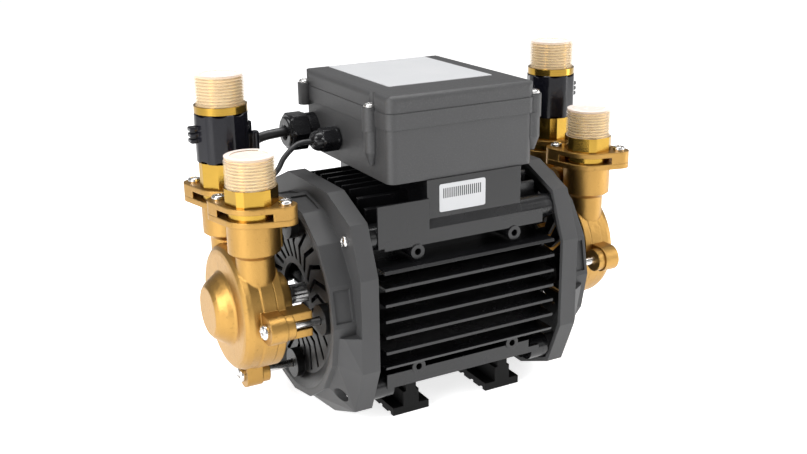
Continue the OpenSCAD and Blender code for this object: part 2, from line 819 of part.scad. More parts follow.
smooth_steps = 3;
up = [0, 0, 1];
slant_hint = [1, -1, 0.3];
lead_hint = [0.2, 1, -0.4];
cord_sides = 8;

lead_points = [
  [-lead_gland_tip + gland_reach, lead_gland_y, lead_gland_z],
  [-lead_gland_tip - cord_d, lead_gland_y, lead_gland_z],
  [-78, 9, 88],
  [-85, 7, 83],
  [-90, 5, 77],
  [-94, 7.5, 73],
  [-97.5, 12, 75],
  [-99.2, 14.8, 81],
  [-99.3, 14.9, 84],
  [-99.3, 14.9, 88]];

module cable(points, d, hint) swept_tube(curve(points, smooth_steps), d / 2, cord_sides, hint);

module switch_lead() raised() cable(lead_points, lead_d, lead_hint);

module switch_lead_left() color(black_plastic) switch_lead();
module switch_lead_right() color(black_plastic) mirror([1, 0, 0]) switch_lead();

coil_middle = [60, 130];
coil_lift = 0.9;
turn_gap = 0.6;
coil_step = cord_d + turn_gap;
coil_sides = 6;
rings_per_turn = 24;
turns_inward = 2.5;
turns_outward = 2.5;
climb_start = 2.25;
coil_low_z = cord_d / 2 + coil_lift;

function coil_radius(turn) = coil_inner_r + coil_step * abs(turn - turns_inward);

function coil_height(turn) =
  let (climbed = min(max(2 * (turn - climb_start), 0), 1))
  coil_low_z + coil_step * (1 - cos(180 * climbed)) / 2;

function coil_point(turn) =
  [coil_middle.x + coil_radius(turn) * sin(360 * turn),
   coil_middle.y - coil_radius(turn) * cos(360 * turn),
   coil_height(turn)];

coil_turns = turns_inward + turns_outward;
coil_start = coil_point(0) - [cord_d, 0, 0];
coil_end = coil_point(coil_turns) + [cord_d, 0, 0];
coil_rings = [for (i = [0:rings_per_turn * coil_turns]) coil_point(i / rings_per_turn)];
coil_path = concat([coil_start], coil_rings, [coil_end]);
coil_gaps = [for (i = [0:len(coil_path) - 1], j = [i + rings_per_turn / 2:len(coil_path) - 1])
  norm(coil_path[i] - coil_path[j]) - cord_d];

module flex_coil() color(black_plastic) swept_tube(coil_path, cord_d / 2, coil_sides, up);

flex_points = [
  [-mains_gland_tip + gland_reach, mains_gland_y, axis_height + mains_gland_z],
  [-mains_gland_tip - cord_d, mains_gland_y, axis_height + mains_gland_z],
  [-86, 47, 157],
  [-97, 50, 148],
  [-104, 55, 134],
  [-107, 62, 115],
  [-107, 68, 92],
  [-105, 75, 68],
  [-100, 81, 44],
  [-90, 85, 24],
  [-74, 87, 11],
  [-54, coil_start.y, coil_low_z],
  [-24, coil_start.y, coil_low_z],
  [10, coil_start.y, coil_low_z],
  [coil_start.x - cord_d, coil_start.y, coil_low_z],
  coil_start];

module mains_flex() color(black_plastic) cable(flex_points, cord_d, slant_hint);

tail_end = [140, coil_end.y + 2, coil_low_z];
tail_points = [
  coil_end,
  coil_end + [cord_d, 0, 0],
  [86, coil_end.y, coil_end.z],
  [98, coil_end.y, coil_end.z - 1],
  [110, coil_end.y + 1, coil_low_z],
  [120, tail_end.y, coil_low_z],
  [130, tail_end.y, coil_low_z],
  tail_end];

module flex_tail() color(black_plastic) cable(tail_points, cord_d, up);

core_r = 0.9;
core_spread = 1.5;
core_length = 14;

module flex_cores() color(copper) for (angle = [90, 210, 330])
  translate(tail_end + core_spread * [0, cos(angle), sin(angle)]) rod_x(core_r, 0, core_length);

tie_half_width = 3;
tie_thickness = 0.6;

module cord_tie() color(black_plastic) {
  near = coil_middle.y + coil_inner_r - cord_d / 2 - fit_gap;
  far = coil_middle.y + coil_inner_r + coil_step * (turns_inward - 0.5) + cord_d / 2 + fit_gap;
  low = coil_low_z - cord_d / 2 + fit_gap;
  high = coil_low_z + coil_step + cord_d / 2 + fit_gap;
  difference() {
    block([coil_middle.x - tie_half_width, near - tie_thickness, low - tie_thickness],
          [coil_middle.x + tie_half_width, far + tie_thickness, high + tie_thickness]);
    block([coil_middle.x - tie_half_width - overrun, near, low],
          [coil_middle.x + tie_half_width + overrun, far, high]);
  }
}

echo(least_coil_gap = min(coil_gaps));
echo(flex_length = route_length(curve(flex_points, smooth_steps)) + route_length(coil_path)
                   + route_length(curve(tail_points, smooth_steps)) - gland_reach);

// Pump casings
plate_disc_r = 33;
chamber_r = 29.5;
lug_r = 8.2;
lug_foot = 16;
neck_ball_z = 24;
neck_cone = 3;
socket_r = 12;
socket_z = 46;
water_r = 8.5;
outlet_r = 5.2;
outlet_low_z = 12;
eye_r = 9;
dome_r = 11;
dome_wall = 3.5;
inlet_r = 3.2;
clamp_screw_r = 1.9;
drum_shares = [[1, 0], [1, 0.42], [0.982, 0.44], [0.982, 0.74], [0.95, 0.9], [0.9, 0.98], [0.84, 1]];
nose_shares = [[0.585, 0], [0.55, 0.12], [0.51, 0.4], [0.435, 0.8], [0.38, 0.97], [0.363, 1]];
inlet_top = [port_x + dome_wall, port_y, socket_z];
inlet_foot = [drum_face - inlet_r, port_y / 4, chamber_r / 4];

module at_port(x, y) translate([x * port_x, y * port_y, 0]) children();

module drum_body() turned_x() polygon(concat(
  [[0, drum_x]],
  [for (p = drum_shares) [p.x * drum_r, drum_x + p.y * drum_length]],
  [for (p = nose_shares) [p.x * drum_r, drum_face + p.y * nose_length]],
  [[0, nose_end]]));

module neck(grow) {
  rod_z(narrow_neck_r + grow, neck_ball_z, neck_step_z);
  translate([0, 0, neck_ball_z]) sphere(narrow_neck_r + grow);
}

module oval(centre_r, end_r, reach) {
  lean = acos((centre_r - end_r) / reach);
  corner = [reach + end_r * cos(lean), end_r * sin(lean)];
  shoulder = centre_r * [cos(lean), sin(lean)];
  circle(centre_r);
  for (side = [-1, 1]) translate([side * reach, 0]) circle(end_r);
  polygon([corner, shoulder, [-shoulder.x, shoulder.y], [-corner.x, corner.y],
           -corner, -shoulder, [shoulder.x, -shoulder.y], [corner.x, -corner.y]]);
}

oval_centre_r = 17.2;
oval_end_r = 6.5;
oval_turn = -45;

module port_oval(from, to) rotate([0, 0, oval_turn]) translate([0, 0, from])
  linear_extrude(to - from) oval(oval_centre_r, oval_end_r, clamp_screw_reach);

module at_clamp_screws() for (side = [-1, 1])
  rotate([0, 0, oval_turn]) translate([side * clamp_screw_reach, 0, 0]) children();

module slanted_rod(from, to, r) {
  step = to - from;
  translate(from) rotate([0, acos(step.z / norm(step)), atan2(step.y, step.x)])
    cylinder(r = r, h = norm(step));
}

module casing_body() {
  drum_body();
  four_around(bolt_circle_r) {
    rod_x(lug_r, drum_x, bolt_head_x);
    block([drum_x, -lug_foot, -lug_r], [bolt_head_x, 0, lug_r]);
  }
  for (y = [-1, 1]) at_port(1, y) {
    neck(0);
    translate([0, 0, neck_step_z - neck_cone])
      cylinder(r1 = narrow_neck_r, r2 = wide_neck_r, h = neck_cone);
    rod_z(wide_neck_r, neck_step_z, flange_top);
    port_oval(flange_z, flange_top);
  }
}

module pump_casing(side) raised() at_end(side) difference() {
  casing_body();
  rod_x(chamber_r, drum_x - overrun, chamber_end);
  rod_x(plate_disc_r + fit_gap, back_plate_x - overrun, drum_x);
  rod_x(eye_r, drum_x, drum_face);
  rod_x(dome_r, drum_face - inlet_r, nose_end - dome_wall);
  four_around(bolt_circle_r) rod_x(bolt_r + fit_gap, drum_x - overrun, bolt_head_x + overrun);
  for (y = [-1, 1]) at_port(1, y) {
    rod_z(socket_r, socket_z, flange_top + overrun);
    rod_z(water_r, neck_step_z, flange_z);
    at_clamp_screws() rod_z(clamp_screw_r + fit_gap, flange_z - overrun, flange_top + overrun);
  }
  at_port(1, side) rod_z(outlet_r, outlet_low_z, flange_z);
  mirror([0, side > 0 ? 1 : 0, 0]) slanted_rod(inlet_top, inlet_foot, inlet_r);
}

module pump_casing_left() color(brass) pump_casing(-1);
module pump_casing_right() color(brass) pump_casing(1);

// Back plates with the seal hub and the two open bolt arms
seal_pocket_r = 11;
hub_r = 15;
hub_front = 3;
seal_bore = 1;
arm_gap = 6;
arm_inner = 34;
arm_outer = 46.5;
arm_half = 7.5;
groove_half = 3;
ring_inner_r = 30.3;
ring_outer_r = 32;
ring_depth = 1.6;
arm_x = cover_face + arm_gap;

module bolt_arm() difference() {
  block([arm_x, arm_inner, -arm_half], [drum_x, arm_outer, arm_half]);
  block([arm_x - overrun, bolt_circle_r - groove_half, -groove_half],
        [drum_x + overrun, arm_outer + overrun, groove_half]);
}

module back_plate(side) raised() at_end(side) difference() {
  union() {
    difference() {
      union() {
        rod_x(drum_r, back_plate_x, drum_x);
        four_around(bolt_circle_r) rod_x(lug_r - overrun, back_plate_x, drum_x);
      }
      for (y = [-1, 1]) at_port(1, y) neck(free_gap);
    }
    rod_x(plate_disc_r, back_plate_x, drum_x);
    rod_x(hub_r, hub_x, drum_x);
    bolt_arm();
    rotate([90, 0, 0]) bolt_arm();
  }
  rod_x(seal_pocket_r, hub_x + hub_front, drum_x + overrun);
  rod_x(shaft_r + seal_bore, hub_x - overrun, drum_x);
  four_around(bolt_circle_r) rod_x(bolt_r + fit_gap, arm_x, drum_x + overrun);
  ring_x(ring_outer_r, ring_inner_r, drum_x - ring_depth, drum_x + overrun);
}

module back_plate_left() color(brass) back_plate(-1);
module back_plate_right() color(brass) back_plate(1);

module casing_seals() color(rubber) raised()
  both_ends() ring_x(ring_outer_r - fit_gap, ring_inner_r + fit_gap, drum_x - ring_depth, drum_x);

// Impellers and shaft seals
impeller_disc = 2;
impeller_hub_r = 10;
impeller_vanes = 6;
vane_low = 5;
vane_high = 7;
vane_inset = 4;
seat_width = 4.5;
seal_head_r = 9.2;
seal_x = hub_x + hub_front;

module impeller(side) raised() at_end(side) difference() {
  union() {
    rod_x(impeller_r, impeller_x, impeller_x + impeller_disc);
    rod_x(impeller_hub_r, impeller_x, impeller_top);
    for (i = [1:impeller_vanes])
      rotate([360 * i / impeller_vanes, 0, 0])
        block([impeller_x, 0, vane_low], [impeller_top, impeller_r - vane_inset, vane_high]);
  }
  rod_x(shaft_r, impeller_x - overrun, impeller_top + overrun);
}

module impeller_left() color(black_plastic) impeller(-1);
module impeller_right() color(black_plastic) impeller(1);

module seal_seats() color(white) raised()
  both_ends() ring_x(seal_pocket_r - fit_gap, shaft_r + seal_bore, seal_x, seal_x + seat_width);

module shaft_seals() color(steel) raised()
  both_ends() ring_x(seal_head_r, shaft_r, seal_x + seat_width + running_gap, impeller_x);

bolt_head_r = 4.4;
bolt_head_height = 3.4;

module pump_bolts() color(steel) raised() both_ends() four_around(bolt_circle_r) {
  rod_x(bolt_r, boss_end - tap_depth + overrun, bolt_head_x);
  pan_head_x(bolt_head_r, bolt_head_x, bolt_head_height);
}

// Port unions and clamps
collar_r = 14.6;
clamp_bore_r = 12.6;
union_neck_r = 12.3;
spigot_r = socket_r - fit_gap;
spigot_z = socket_z + overrun;
seal_z = 53;
seal_r = 0.9;
seal_groove_half = 1;
thread_pitch = 1.8;
thread_depth = 0.7;
thread_bore_r = 9.6;
thread_height = 15.7;
chamfer_flats = 29.8;
front_left_turn = 15;
front_right_turn = 35;
window_half = 17;

module port_foot() {
  difference() {
    rod_z(spigot_r, spigot_z, flange_top + overrun);
    rotate_extrude() translate([spigot_r - 2 * seal_r, seal_z - seal_groove_half])
      square([2 * seal_r + overrun, 2 * seal_groove_half]);
  }
  rod_z(collar_r, flange_top, flange_top + window_height);
  rod_z(union_neck_r, flange_top, clamp_top + overrun);
}

module six_sides(flats, turn, from, to) rotate([0, 0, turn]) translate([0, 0, from])
  cylinder(r = flats / sqrt(3), h = to - from, $fn = 6);

hexagon_half_turn = 180 / 6;

module port_hexagon(turn, from, to) intersection() {
  six_sides(hex_flats, turn + hexagon_half_turn, from, to);
  six_sides(chamfer_flats, turn, from, to);
}

module pipe_thread(from) {
  turns = floor(thread_height / thread_pitch);
  root = thread_r - thread_depth;
  top = from + thread_height;
  ridges = [for (i = [turns:-1:1], p = [[root, 0], [thread_r, 1], [root, 2]])
    [p.x, top - thread_pitch * (i - p.y / 3)]];
  rotate_extrude()
    polygon(concat([[0, from - overrun], [root, from - overrun]], ridges, [[root, top], [0, top]]));
}

module front_union(side, turn) raised() at_port(side, -1) difference() {
  union() {
    port_foot();
    port_hexagon(turn, clamp_top, front_hex_top);
    pipe_thread(front_hex_top);
  }
  rod_z(thread_bore_r, clamp_top, front_hex_top + cap_height);
  rod_z(water_r, spigot_z - overrun, clamp_top + overrun);
}

module union_front_left() color(bright_brass) front_union(-1, front_left_turn);
module union_front_right() color(bright_brass) front_union(1, front_right_turn);

// Flow switches on the rear ports
float_r = 9.7;
float_bore_r = 10;
float_core_r = 6.5;
float_rib_half = 1;
float_height = 14;
float_ledge = 1;
float_top_gap = 0.5;
tube_r = 12.3;
ring_inset = 0.4;
float_z = rear_hex_top + float_ledge;
head_z = float_z + float_height + float_travel + float_top_gap;

module switch_tube(side) raised() at_port(side, 1) difference() {
  union() {
    port_foot();
    port_hexagon(front_right_turn, clamp_top, rear_hex_top);
    rod_z(tube_r, rear_hex_top - overrun, head_z);
  }
  rod_z(water_r, spigot_z - overrun, head_z + overrun);
  rod_z(float_bore_r, float_z, head_z + overrun);
}

module switch_tube_left() color(bright_brass) switch_tube(-1);
module switch_tube_right() color(bright_brass) switch_tube(1);

module switch_head(side) raised() at_port(side, 1) difference() {
  union() {
    rod_z(tube_r, head_z, ring_top);
    rod_z(sleeve_r - ring_inset, sleeve_top, ring_top);
    pipe_thread(ring_top);
  }
  rod_z(water_r, head_z - overrun, ring_top + cap_height);
}

module switch_head_left() color(bright_brass) switch_head(-1);
module switch_head_right() color(bright_brass) switch_head(1);

flute_count = 20;
flute_r = 0.9;
flute_margin = 3;
clip_z = 95;
clip_height = 12;
clip_half_y = 3.5;
clip_long = 6;
clip_short = 2.5;
clip_root = 2;
stub_r = 2.6;
stub_reach = 18.5;
stub_turn = 20;
stub_low = 88;
stub_high = 100;

module switch_sleeve(side) raised() at_port(side, 1) mirror([side > 0 ? 1 : 0, 0, 0]) difference() {
  union() {
    rod_z(sleeve_r, rear_hex_top, sleeve_top);
    block([-sleeve_r - clip_long, -clip_half_y, clip_z],
          [-sleeve_r + clip_root, clip_half_y, clip_z + clip_height]);
    block([sleeve_r - clip_root, -clip_half_y, clip_z],
          [sleeve_r + clip_short, clip_half_y, clip_z + clip_height]);
    rotate([0, 0, -stub_turn]) {
      translate([stub_reach, 0, 0]) rod_z(stub_r, stub_low, stub_high);
      block([sleeve_r - clip_root, -stub_r, stub_low], [stub_reach, stub_r, stub_high]);
    }
  }
  rod_z(tube_r + fit_gap, rear_hex_top - overrun, sleeve_top + overrun);
  for (i = [1:flute_count])
    rotate([0, 0, 360 * (i + 0.5) / flute_count]) translate([sleeve_r + flute_r / 2, 0, 0])
      rod_z(flute_r, rear_hex_top + flute_margin, sleeve_top - flute_margin);
  for (step = [1, 2]) translate([0, 0, clip_z + step * clip_height / 3])
    block([-sleeve_r - clip_long - overrun, -clip_half_y - overrun, -flute_r / 2],
          [-sleeve_r - flute_r, clip_half_y + overrun, flute_r / 2]);
}

module switch_sleeve_left() color(black_plastic) switch_sleeve(-1);
module switch_sleeve_right() color(black_plastic) switch_sleeve(1);

module float_piece(side) raised() at_port(side, 1) {
  rod_z(float_core_r, float_z, float_z + float_height);
  intersection() {
    rod_z(float_r, float_z, float_z + float_height);
    for (turn = [0, 90])
      rotate([0, 0, turn])
        block([-float_bore_r, -float_rib_half, float_z],
              [float_bore_r, float_rib_half, float_z + float_height]);
  }
}

module float_left() color(white) float_piece(-1);
module float_right() color(white) float_piece(1);

module at_all_ports() raised() for (x = [-1, 1], y = [-1, 1]) at_port(x, y) children();

module port_seals() color(rubber) at_all_ports()
  translate([0, 0, seal_z]) rotate_extrude() translate([spigot_r - seal_r, 0]) circle(seal_r);

module port_clamps() color(brass) at_all_ports() difference() {
  port_oval(flange_top, clamp_top);
  rotate([0, 0, oval_turn])
    block([-window_half, -2 * window_half, flange_top - overrun],
          [window_half, 2 * window_half, flange_top + window_height]);
  rod_z(clamp_bore_r, flange_top, clamp_top + overrun);
  at_clamp_screws() rod_z(clamp_screw_r + fit_gap, flange_top - overrun, clamp_top + overrun);
}

clamp_head_r = 3.75;
clamp_head_height = 2.8;

module clamp_screws() color(steel) at_all_ports() at_clamp_screws() {
  rod_z(clamp_screw_r, flange_z, clamp_top);
  pan_head_z(clamp_head_r, clamp_top, clamp_head_height);
}

// Thread protector caps
cap_step = 2.6;
cap_taper = 0.35;
cap_roof = 1.2;
cap_dimple = 0.5;

module thread_cap(x, y, z) raised() at_port(x, y) difference() {
  union() {
    rod_z(thread_r + free_gap + cap_wall, z, z + cap_height - cap_step);
    rod_z(thread_r + free_gap + cap_wall - cap_taper, z, z + cap_height);
  }
  rod_z(thread_r + free_gap, z - overrun, z + cap_height - cap_roof);
  rod_z(thread_r - cap_step, z + cap_height - cap_dimple, z + cap_height + overrun);
}

module cap_front_left() color(clear_plastic) thread_cap(-1, -1, front_hex_top);
module cap_front_right() color(clear_plastic) thread_cap(1, -1, front_hex_top);
module cap_rear_left() color(clear_plastic) thread_cap(-1, 1, ring_top);
module cap_rear_right() color(clear_plastic) thread_cap(1, 1, ring_top);

motor_housing();
stator_core();
stator_windings();
rotor_core();
motor_shaft();
bearings();
bearing_bracket_left();
bearing_bracket_right();
end_cover_left();
end_cover_right();
cover_screws();
cooling_fan();
foot_left();
foot_right();
terminal_box();
box_lid();
lid_gasket();
lid_screws();
blank_labels();
capacitor();
control_board();
terminal_block();
mains_gland_body();
mains_gland_cap();
lead_gland_left();
lead_gland_right();
switch_lead_left();
switch_lead_right();
pump_casing_left();
pump_casing_right();
back_plate_left();
back_plate_right();
casing_seals();
impeller_left();
impeller_right();
shaft_seals();
seal_seats();
pump_bolts();
port_clamps();
clamp_screws();
port_seals();
union_front_left();
union_front_right();
switch_tube_left();
switch_tube_right();
switch_head_left();
switch_head_right();
switch_sleeve_left();
switch_sleeve_right();
float_left();
float_right();
cap_front_left();
cap_front_right();
cap_rear_left();
cap_rear_right();
mains_flex();
flex_coil();
flex_tail();
flex_cores();
cord_tie();
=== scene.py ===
"""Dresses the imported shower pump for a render, laid out as a Blender add-on."""

import json
import math

import bmesh
import bpy
from mathutils import Matrix, Quaternion, Vector


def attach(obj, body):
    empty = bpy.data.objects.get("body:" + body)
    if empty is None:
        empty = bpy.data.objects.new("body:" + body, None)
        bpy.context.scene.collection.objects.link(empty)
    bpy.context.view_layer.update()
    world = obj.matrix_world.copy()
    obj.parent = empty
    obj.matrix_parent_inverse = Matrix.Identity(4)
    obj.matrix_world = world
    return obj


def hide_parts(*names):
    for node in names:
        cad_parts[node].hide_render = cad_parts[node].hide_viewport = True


bl_info = {
    "name": "Shower Pump",
    "version": (1, 0, 0),
    "blender": (4, 5, 0),
    "location": "3D View > Sidebar > Shower Pump",
    "description": "Finishes, cables and studio for the packed shower pump",
    "category": "Object",
}

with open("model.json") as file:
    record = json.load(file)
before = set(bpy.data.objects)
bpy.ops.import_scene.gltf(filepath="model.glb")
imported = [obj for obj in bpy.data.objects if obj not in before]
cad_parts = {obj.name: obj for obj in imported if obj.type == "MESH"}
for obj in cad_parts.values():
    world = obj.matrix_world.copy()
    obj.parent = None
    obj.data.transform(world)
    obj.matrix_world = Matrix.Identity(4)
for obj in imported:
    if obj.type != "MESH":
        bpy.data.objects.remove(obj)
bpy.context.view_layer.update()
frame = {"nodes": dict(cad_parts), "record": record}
NODES = frame["nodes"]
MM = 0.001
AXIS = 70.5 * MM
THREAD_PITCH = 1.8 * MM
DISH_RADIUS = 58.5 * MM
MOTOR = "pump_body"
SIDES = {"left": -1, "right": 1}


# Sizes and colours that a user may change


class StudioSettings(bpy.types.PropertyGroup):
    """Camera, lights and floor."""

    lens: bpy.props.FloatProperty(
        name="Lens", description="Focal length of the camera", default=47.05, min=20, unit="CAMERA")
    azimuth: bpy.props.FloatProperty(
        name="Azimuth", description="Turn of the camera round the pump", default=math.radians(-28.4),
        subtype="ANGLE")
    elevation: bpy.props.FloatProperty(
        name="Elevation", description="Angle the camera looks down at", default=math.radians(18.2),
        subtype="ANGLE")
    roll: bpy.props.FloatProperty(
        name="Roll", description="Lean of the camera", default=math.radians(-0.8), subtype="ANGLE")
    position: bpy.props.FloatVectorProperty(
        name="Position", description="Place of the camera", default=(-0.3096, -0.5549, 0.3076),
        subtype="TRANSLATION", unit="LENGTH")
    key_power: bpy.props.FloatProperty(
        name="Key light", description="Power of the large light at the front left", default=10.0, min=0,
        unit="POWER")
    top_power: bpy.props.FloatProperty(
        name="Top light", description="Power of the light overhead", default=9.5, min=0, unit="POWER")
    front_power: bpy.props.FloatProperty(
        name="Front light", description="Power of the wide light before the pump", default=0.9, min=0,
        unit="POWER")
    side_power: bpy.props.FloatProperty(
        name="Side light", description="Power of the light at the right", default=6.0, min=0,
        unit="POWER")
    room: bpy.props.FloatProperty(
        name="Room light", description="Strength of the even light all round", default=0.3, min=0)
    floor_glow: bpy.props.FloatProperty(
        name="Floor glow", description="Light of the lit white floor", default=0.75, min=0)
    floor_colour: bpy.props.FloatVectorProperty(
        name="Floor", description="Colour of the floor", default=(0.86, 0.86, 0.86), subtype="COLOR",
        min=0, max=1)


class PaintSettings(bpy.types.PropertyGroup):
    """Base colours of the finishes."""

    enamel: bpy.props.FloatVectorProperty(
        name="Enamel", description="Black enamel of the motor", default=(0.0035, 0.0035, 0.004),
        subtype="COLOR", min=0, max=1)
    cover: bpy.props.FloatVectorProperty(
        name="End covers", description="Dark satin plastic of the end covers",
        default=(0.042, 0.042, 0.043), subtype="COLOR", min=0, max=1)
    grey_plastic: bpy.props.FloatVectorProperty(
        name="Grey plastic", description="Terminal box and lid", default=(0.034, 0.034, 0.035),
        subtype="COLOR", min=0, max=1)
    black_plastic: bpy.props.FloatVectorProperty(
        name="Black plastic", description="Glands and small mouldings", default=(0.005, 0.005, 0.006),
        subtype="COLOR", min=0, max=1)
    cast_brass: bpy.props.FloatVectorProperty(
        name="Cast brass", description="Blasted brass of the pump castings", default=(0.44, 0.255, 0.073),
        subtype="COLOR", min=0, max=1)
    turned_brass: bpy.props.FloatVectorProperty(
        name="Turned brass", description="Bright brass of the unions", default=(0.42, 0.255, 0.045),
        subtype="COLOR", min=0, max=1)
    steel: bpy.props.FloatVectorProperty(
        name="Steel", description="Plated screws and rods", default=(0.72, 0.71, 0.7), subtype="COLOR",
        min=0, max=1)
    milky_cap: bpy.props.FloatVectorProperty(
        name="Milky cap", description="Thread protector caps", default=(1.0, 0.88, 0.82), subtype="COLOR",
        min=0, max=1)


class FlexSettings(bpy.types.PropertyGroup):
    """Mains flex and its coil."""

    diameter: bpy.props.FloatProperty(
        name="Diameter", description="Diameter of the mains flex", default=0.006, min=0.001, unit="LENGTH")
    lead_diameter: bpy.props.FloatProperty(
        name="Lead diameter", description="Diameter of the flow switch leads", default=0.0032, min=0.001,
        unit="LENGTH")
    loop_radius: bpy.props.FloatProperty(
        name="Loop radius", description="Radius of the smallest loop", default=0.027, min=0.01,
        unit="LENGTH")
    loop_step: bpy.props.FloatProperty(
        name="Loop step", description="Growth of the radius in one turn", default=0.0066, min=0.001,
        unit="LENGTH")
    half_turns: bpy.props.FloatProperty(
        name="Turns in a layer", description="Number of turns in each of the two layers", default=2.5,
        min=1)


class FittingSettings(bpy.types.PropertyGroup):
    """Screw heads, glands and labels."""

    recess_share: bpy.props.FloatProperty(
        name="Recess", description="Depth of the cross recess as a share of the head", default=0.5, min=0,
        max=0.9)
    dome_share: bpy.props.FloatProperty(
        name="Dome", description="Crown of a screw head as a share of its height", default=0.45, min=0,
        max=1)
    nut_flats: bpy.props.FloatProperty(
        name="Mains nut", description="Across flats of the mains gland nut", default=0.022, min=0.01,
        unit="LENGTH")
    lead_flats: bpy.props.FloatProperty(
        name="Lead nut", description="Across flats of a lead gland nut", default=0.0135, min=0.005,
        unit="LENGTH")
    slits: bpy.props.IntProperty(
        name="Slits", description="Number of slits in a lead gland's dome", default=8, min=3)
    sleeve_radius: bpy.props.FloatProperty(
        name="Sleeve radius", description="Radius over the corners of a switch sleeve", default=0.0158,
        min=0.014, unit="LENGTH")
    scallop: bpy.props.FloatProperty(
        name="Scallop", description="Depth of the scallops at the sleeve's ends", default=0.0011, min=0,
        unit="LENGTH")
    label_corner: bpy.props.FloatProperty(
        name="Label corner", description="Corner radius of the labels", default=0.0012, min=0,
        unit="LENGTH")
    bars: bpy.props.IntProperty(
        name="Bars", description="Number of even bars on the small label", default=19, min=0)


SETTINGS = {"pump_studio": StudioSettings, "pump_paint": PaintSettings, "pump_flex": FlexSettings,
            "pump_fittings": FittingSettings}


def settings(name):
    return getattr(bpy.context.scene, name)


# Shader maths


class Wire:
    """A node's output, on which sums add Math nodes."""

    def __init__(self, finish, socket):
        self.finish = finish
        self.socket = socket

    def sum(self, operation, first, second):
        return self.finish.node("ShaderNodeMath", {0: first, 1: second}, operation=operation)

    def __add__(self, other):
        return self.sum("ADD", self, other)

    def __radd__(self, other):
        return self.sum("ADD", other, self)

    def __sub__(self, other):
        return self.sum("SUBTRACT", self, other)

    def __rsub__(self, other):
        return self.sum("SUBTRACT", other, self)

    def __mul__(self, other):
        return self.sum("MULTIPLY", self, other)

    def __rmul__(self, other):
        return self.sum("MULTIPLY", other, self)

    def __pow__(self, other):
        return self.sum("POWER", self, other)

    def above(self, other):
        return self.sum("GREATER_THAN", self, other)


class Finish:
    """A material in the making."""

    def __init__(self, name):
        self.material = bpy.data.materials.new(name)
        self.material.use_nodes = True
        self.tree = self.material.node_tree
        self.tree.nodes.clear()

    def node(self, kind, inputs=None, output=0, stops=None, **choices):
        """Adds a node: its choices and ramp stops first, then the values or wires of its sockets."""
        made = self.tree.nodes.new(kind)
        for name, value in choices.items():
            setattr(made, name, value)
        if stops:
            while len(made.color_ramp.elements) < len(stops):
                made.color_ramp.elements.new(0.5)
            for element, (place, level) in zip(made.color_ramp.elements, stops):
                element.position = place
                element.color = (level, level, level, 1)
        for name, value in (inputs or {}).items():
            if isinstance(value, Wire):
                self.tree.links.new(value.socket, made.inputs[name])
            else:
                made.inputs[name].default_value = value
        return Wire(self, made.outputs[output]) if made.outputs else None

    def place(self):
        return self.node("ShaderNodeTexCoord", output="Object")

    def noise(self, scale, detail=2.0, stretch=None):
        where = self.place()
        if stretch:
            where = self.node("ShaderNodeVectorMath", {0: where, 1: stretch}, operation="MULTIPLY")
        return self.node("ShaderNodeTexNoise", {"Vector": where, "Scale": scale, "Detail": detail})

    def parts(self, vector):
        """The X, Y and Z wires of a vector."""
        return [self.node("ShaderNodeSeparateXYZ", {"Vector": vector}, output=k) for k in range(3)]

    def radius(self):
        """Distance from the motor's shaft."""
        x, y, z = self.parts(self.place())
        return (y * y + (z - AXIS) * (z - AXIS)) ** 0.5

    def level(self):
        """One on faces that look straight up or down, else nothing."""
        normal = self.node("ShaderNodeNewGeometry", output="True Normal")
        up = self.parts(normal)[2]
        return (up * up).above(0.8)

    def ramp(self, level, stops):
        return self.node("ShaderNodeValToRGB", {"Fac": level}, stops=stops)

    def mix(self, share, first, second):
        return self.node("ShaderNodeMix", {0: share, 6: first, 7: second}, output=2, data_type="RGBA")

    def soft_edges(self, radius):
        return self.node("ShaderNodeBevel", {"Radius": radius}, samples=4)

    def bump(self, height, depth, normal=None):
        inputs = {"Height": height, "Distance": depth}
        if normal:
            inputs["Normal"] = normal
        return self.node("ShaderNodeBump", inputs)

    def surface(self, **inputs):
        named = {name.replace("_", " ").title(): value for name, value in inputs.items()}
        named = {name.replace("Ior", "IOR"): value for name, value in named.items()}
        shader = self.node("ShaderNodeBsdfPrincipled", named, output="BSDF")
        self.node("ShaderNodeOutputMaterial", {"Surface": shader})
        return self.material


def opaque(colour):
    return (*colour, 1.0)


def lighter(colour, factor):
    return opaque([min(1.0, part * factor) for part in colour])


# Finishes


def enamel():
    """Gloss black stove enamel over cast metal, a little uneven, with paler dusty clouds."""
    finish = Finish("black_enamel")
    colour = settings("pump_paint").enamel
    cloud = finish.noise(35, 3)
    skin = finish.noise(900, 2)
    pits = finish.noise(260, 2)
    height = skin * 0.5 + pits
    return finish.surface(
        base_color=finish.mix(cloud, opaque(colour), lighter(colour, 1.8)),
        roughness=finish.ramp(cloud, [(0.3, 0.2), (0.7, 0.3)]),
        normal=finish.bump(height, 0.00004, finish.soft_edges(0.0005)))


def textured_plastic(name, colour, roughness, depth, edge, shine=0.5):
    """Moulded plastic with a fine spark eroded texture."""
    finish = Finish(name)
    cloud = finish.noise(30, 3)
    grain = finish.noise(2600, 2)
    speck = finish.noise(1400, 2)
    tint = finish.mix(cloud, lighter(colour, 0.85), lighter(colour, 1.15))
    tint = finish.mix(finish.ramp(speck, [(0.5, 0.0), (0.72, 0.5)]), tint, lighter(colour, 1.9))
    return finish.surface(
        base_color=tint, specular_ior_level=shine,
        roughness=finish.ramp(grain, [(0.3, roughness - 0.06), (0.7, roughness + 0.06)]),
        normal=finish.bump(grain, depth, finish.soft_edges(edge)))


def grey_plastic():
    colour = settings("pump_paint").grey_plastic
    return textured_plastic("grey_plastic", colour, roughness=0.48, depth=0.00012, edge=0.0006)


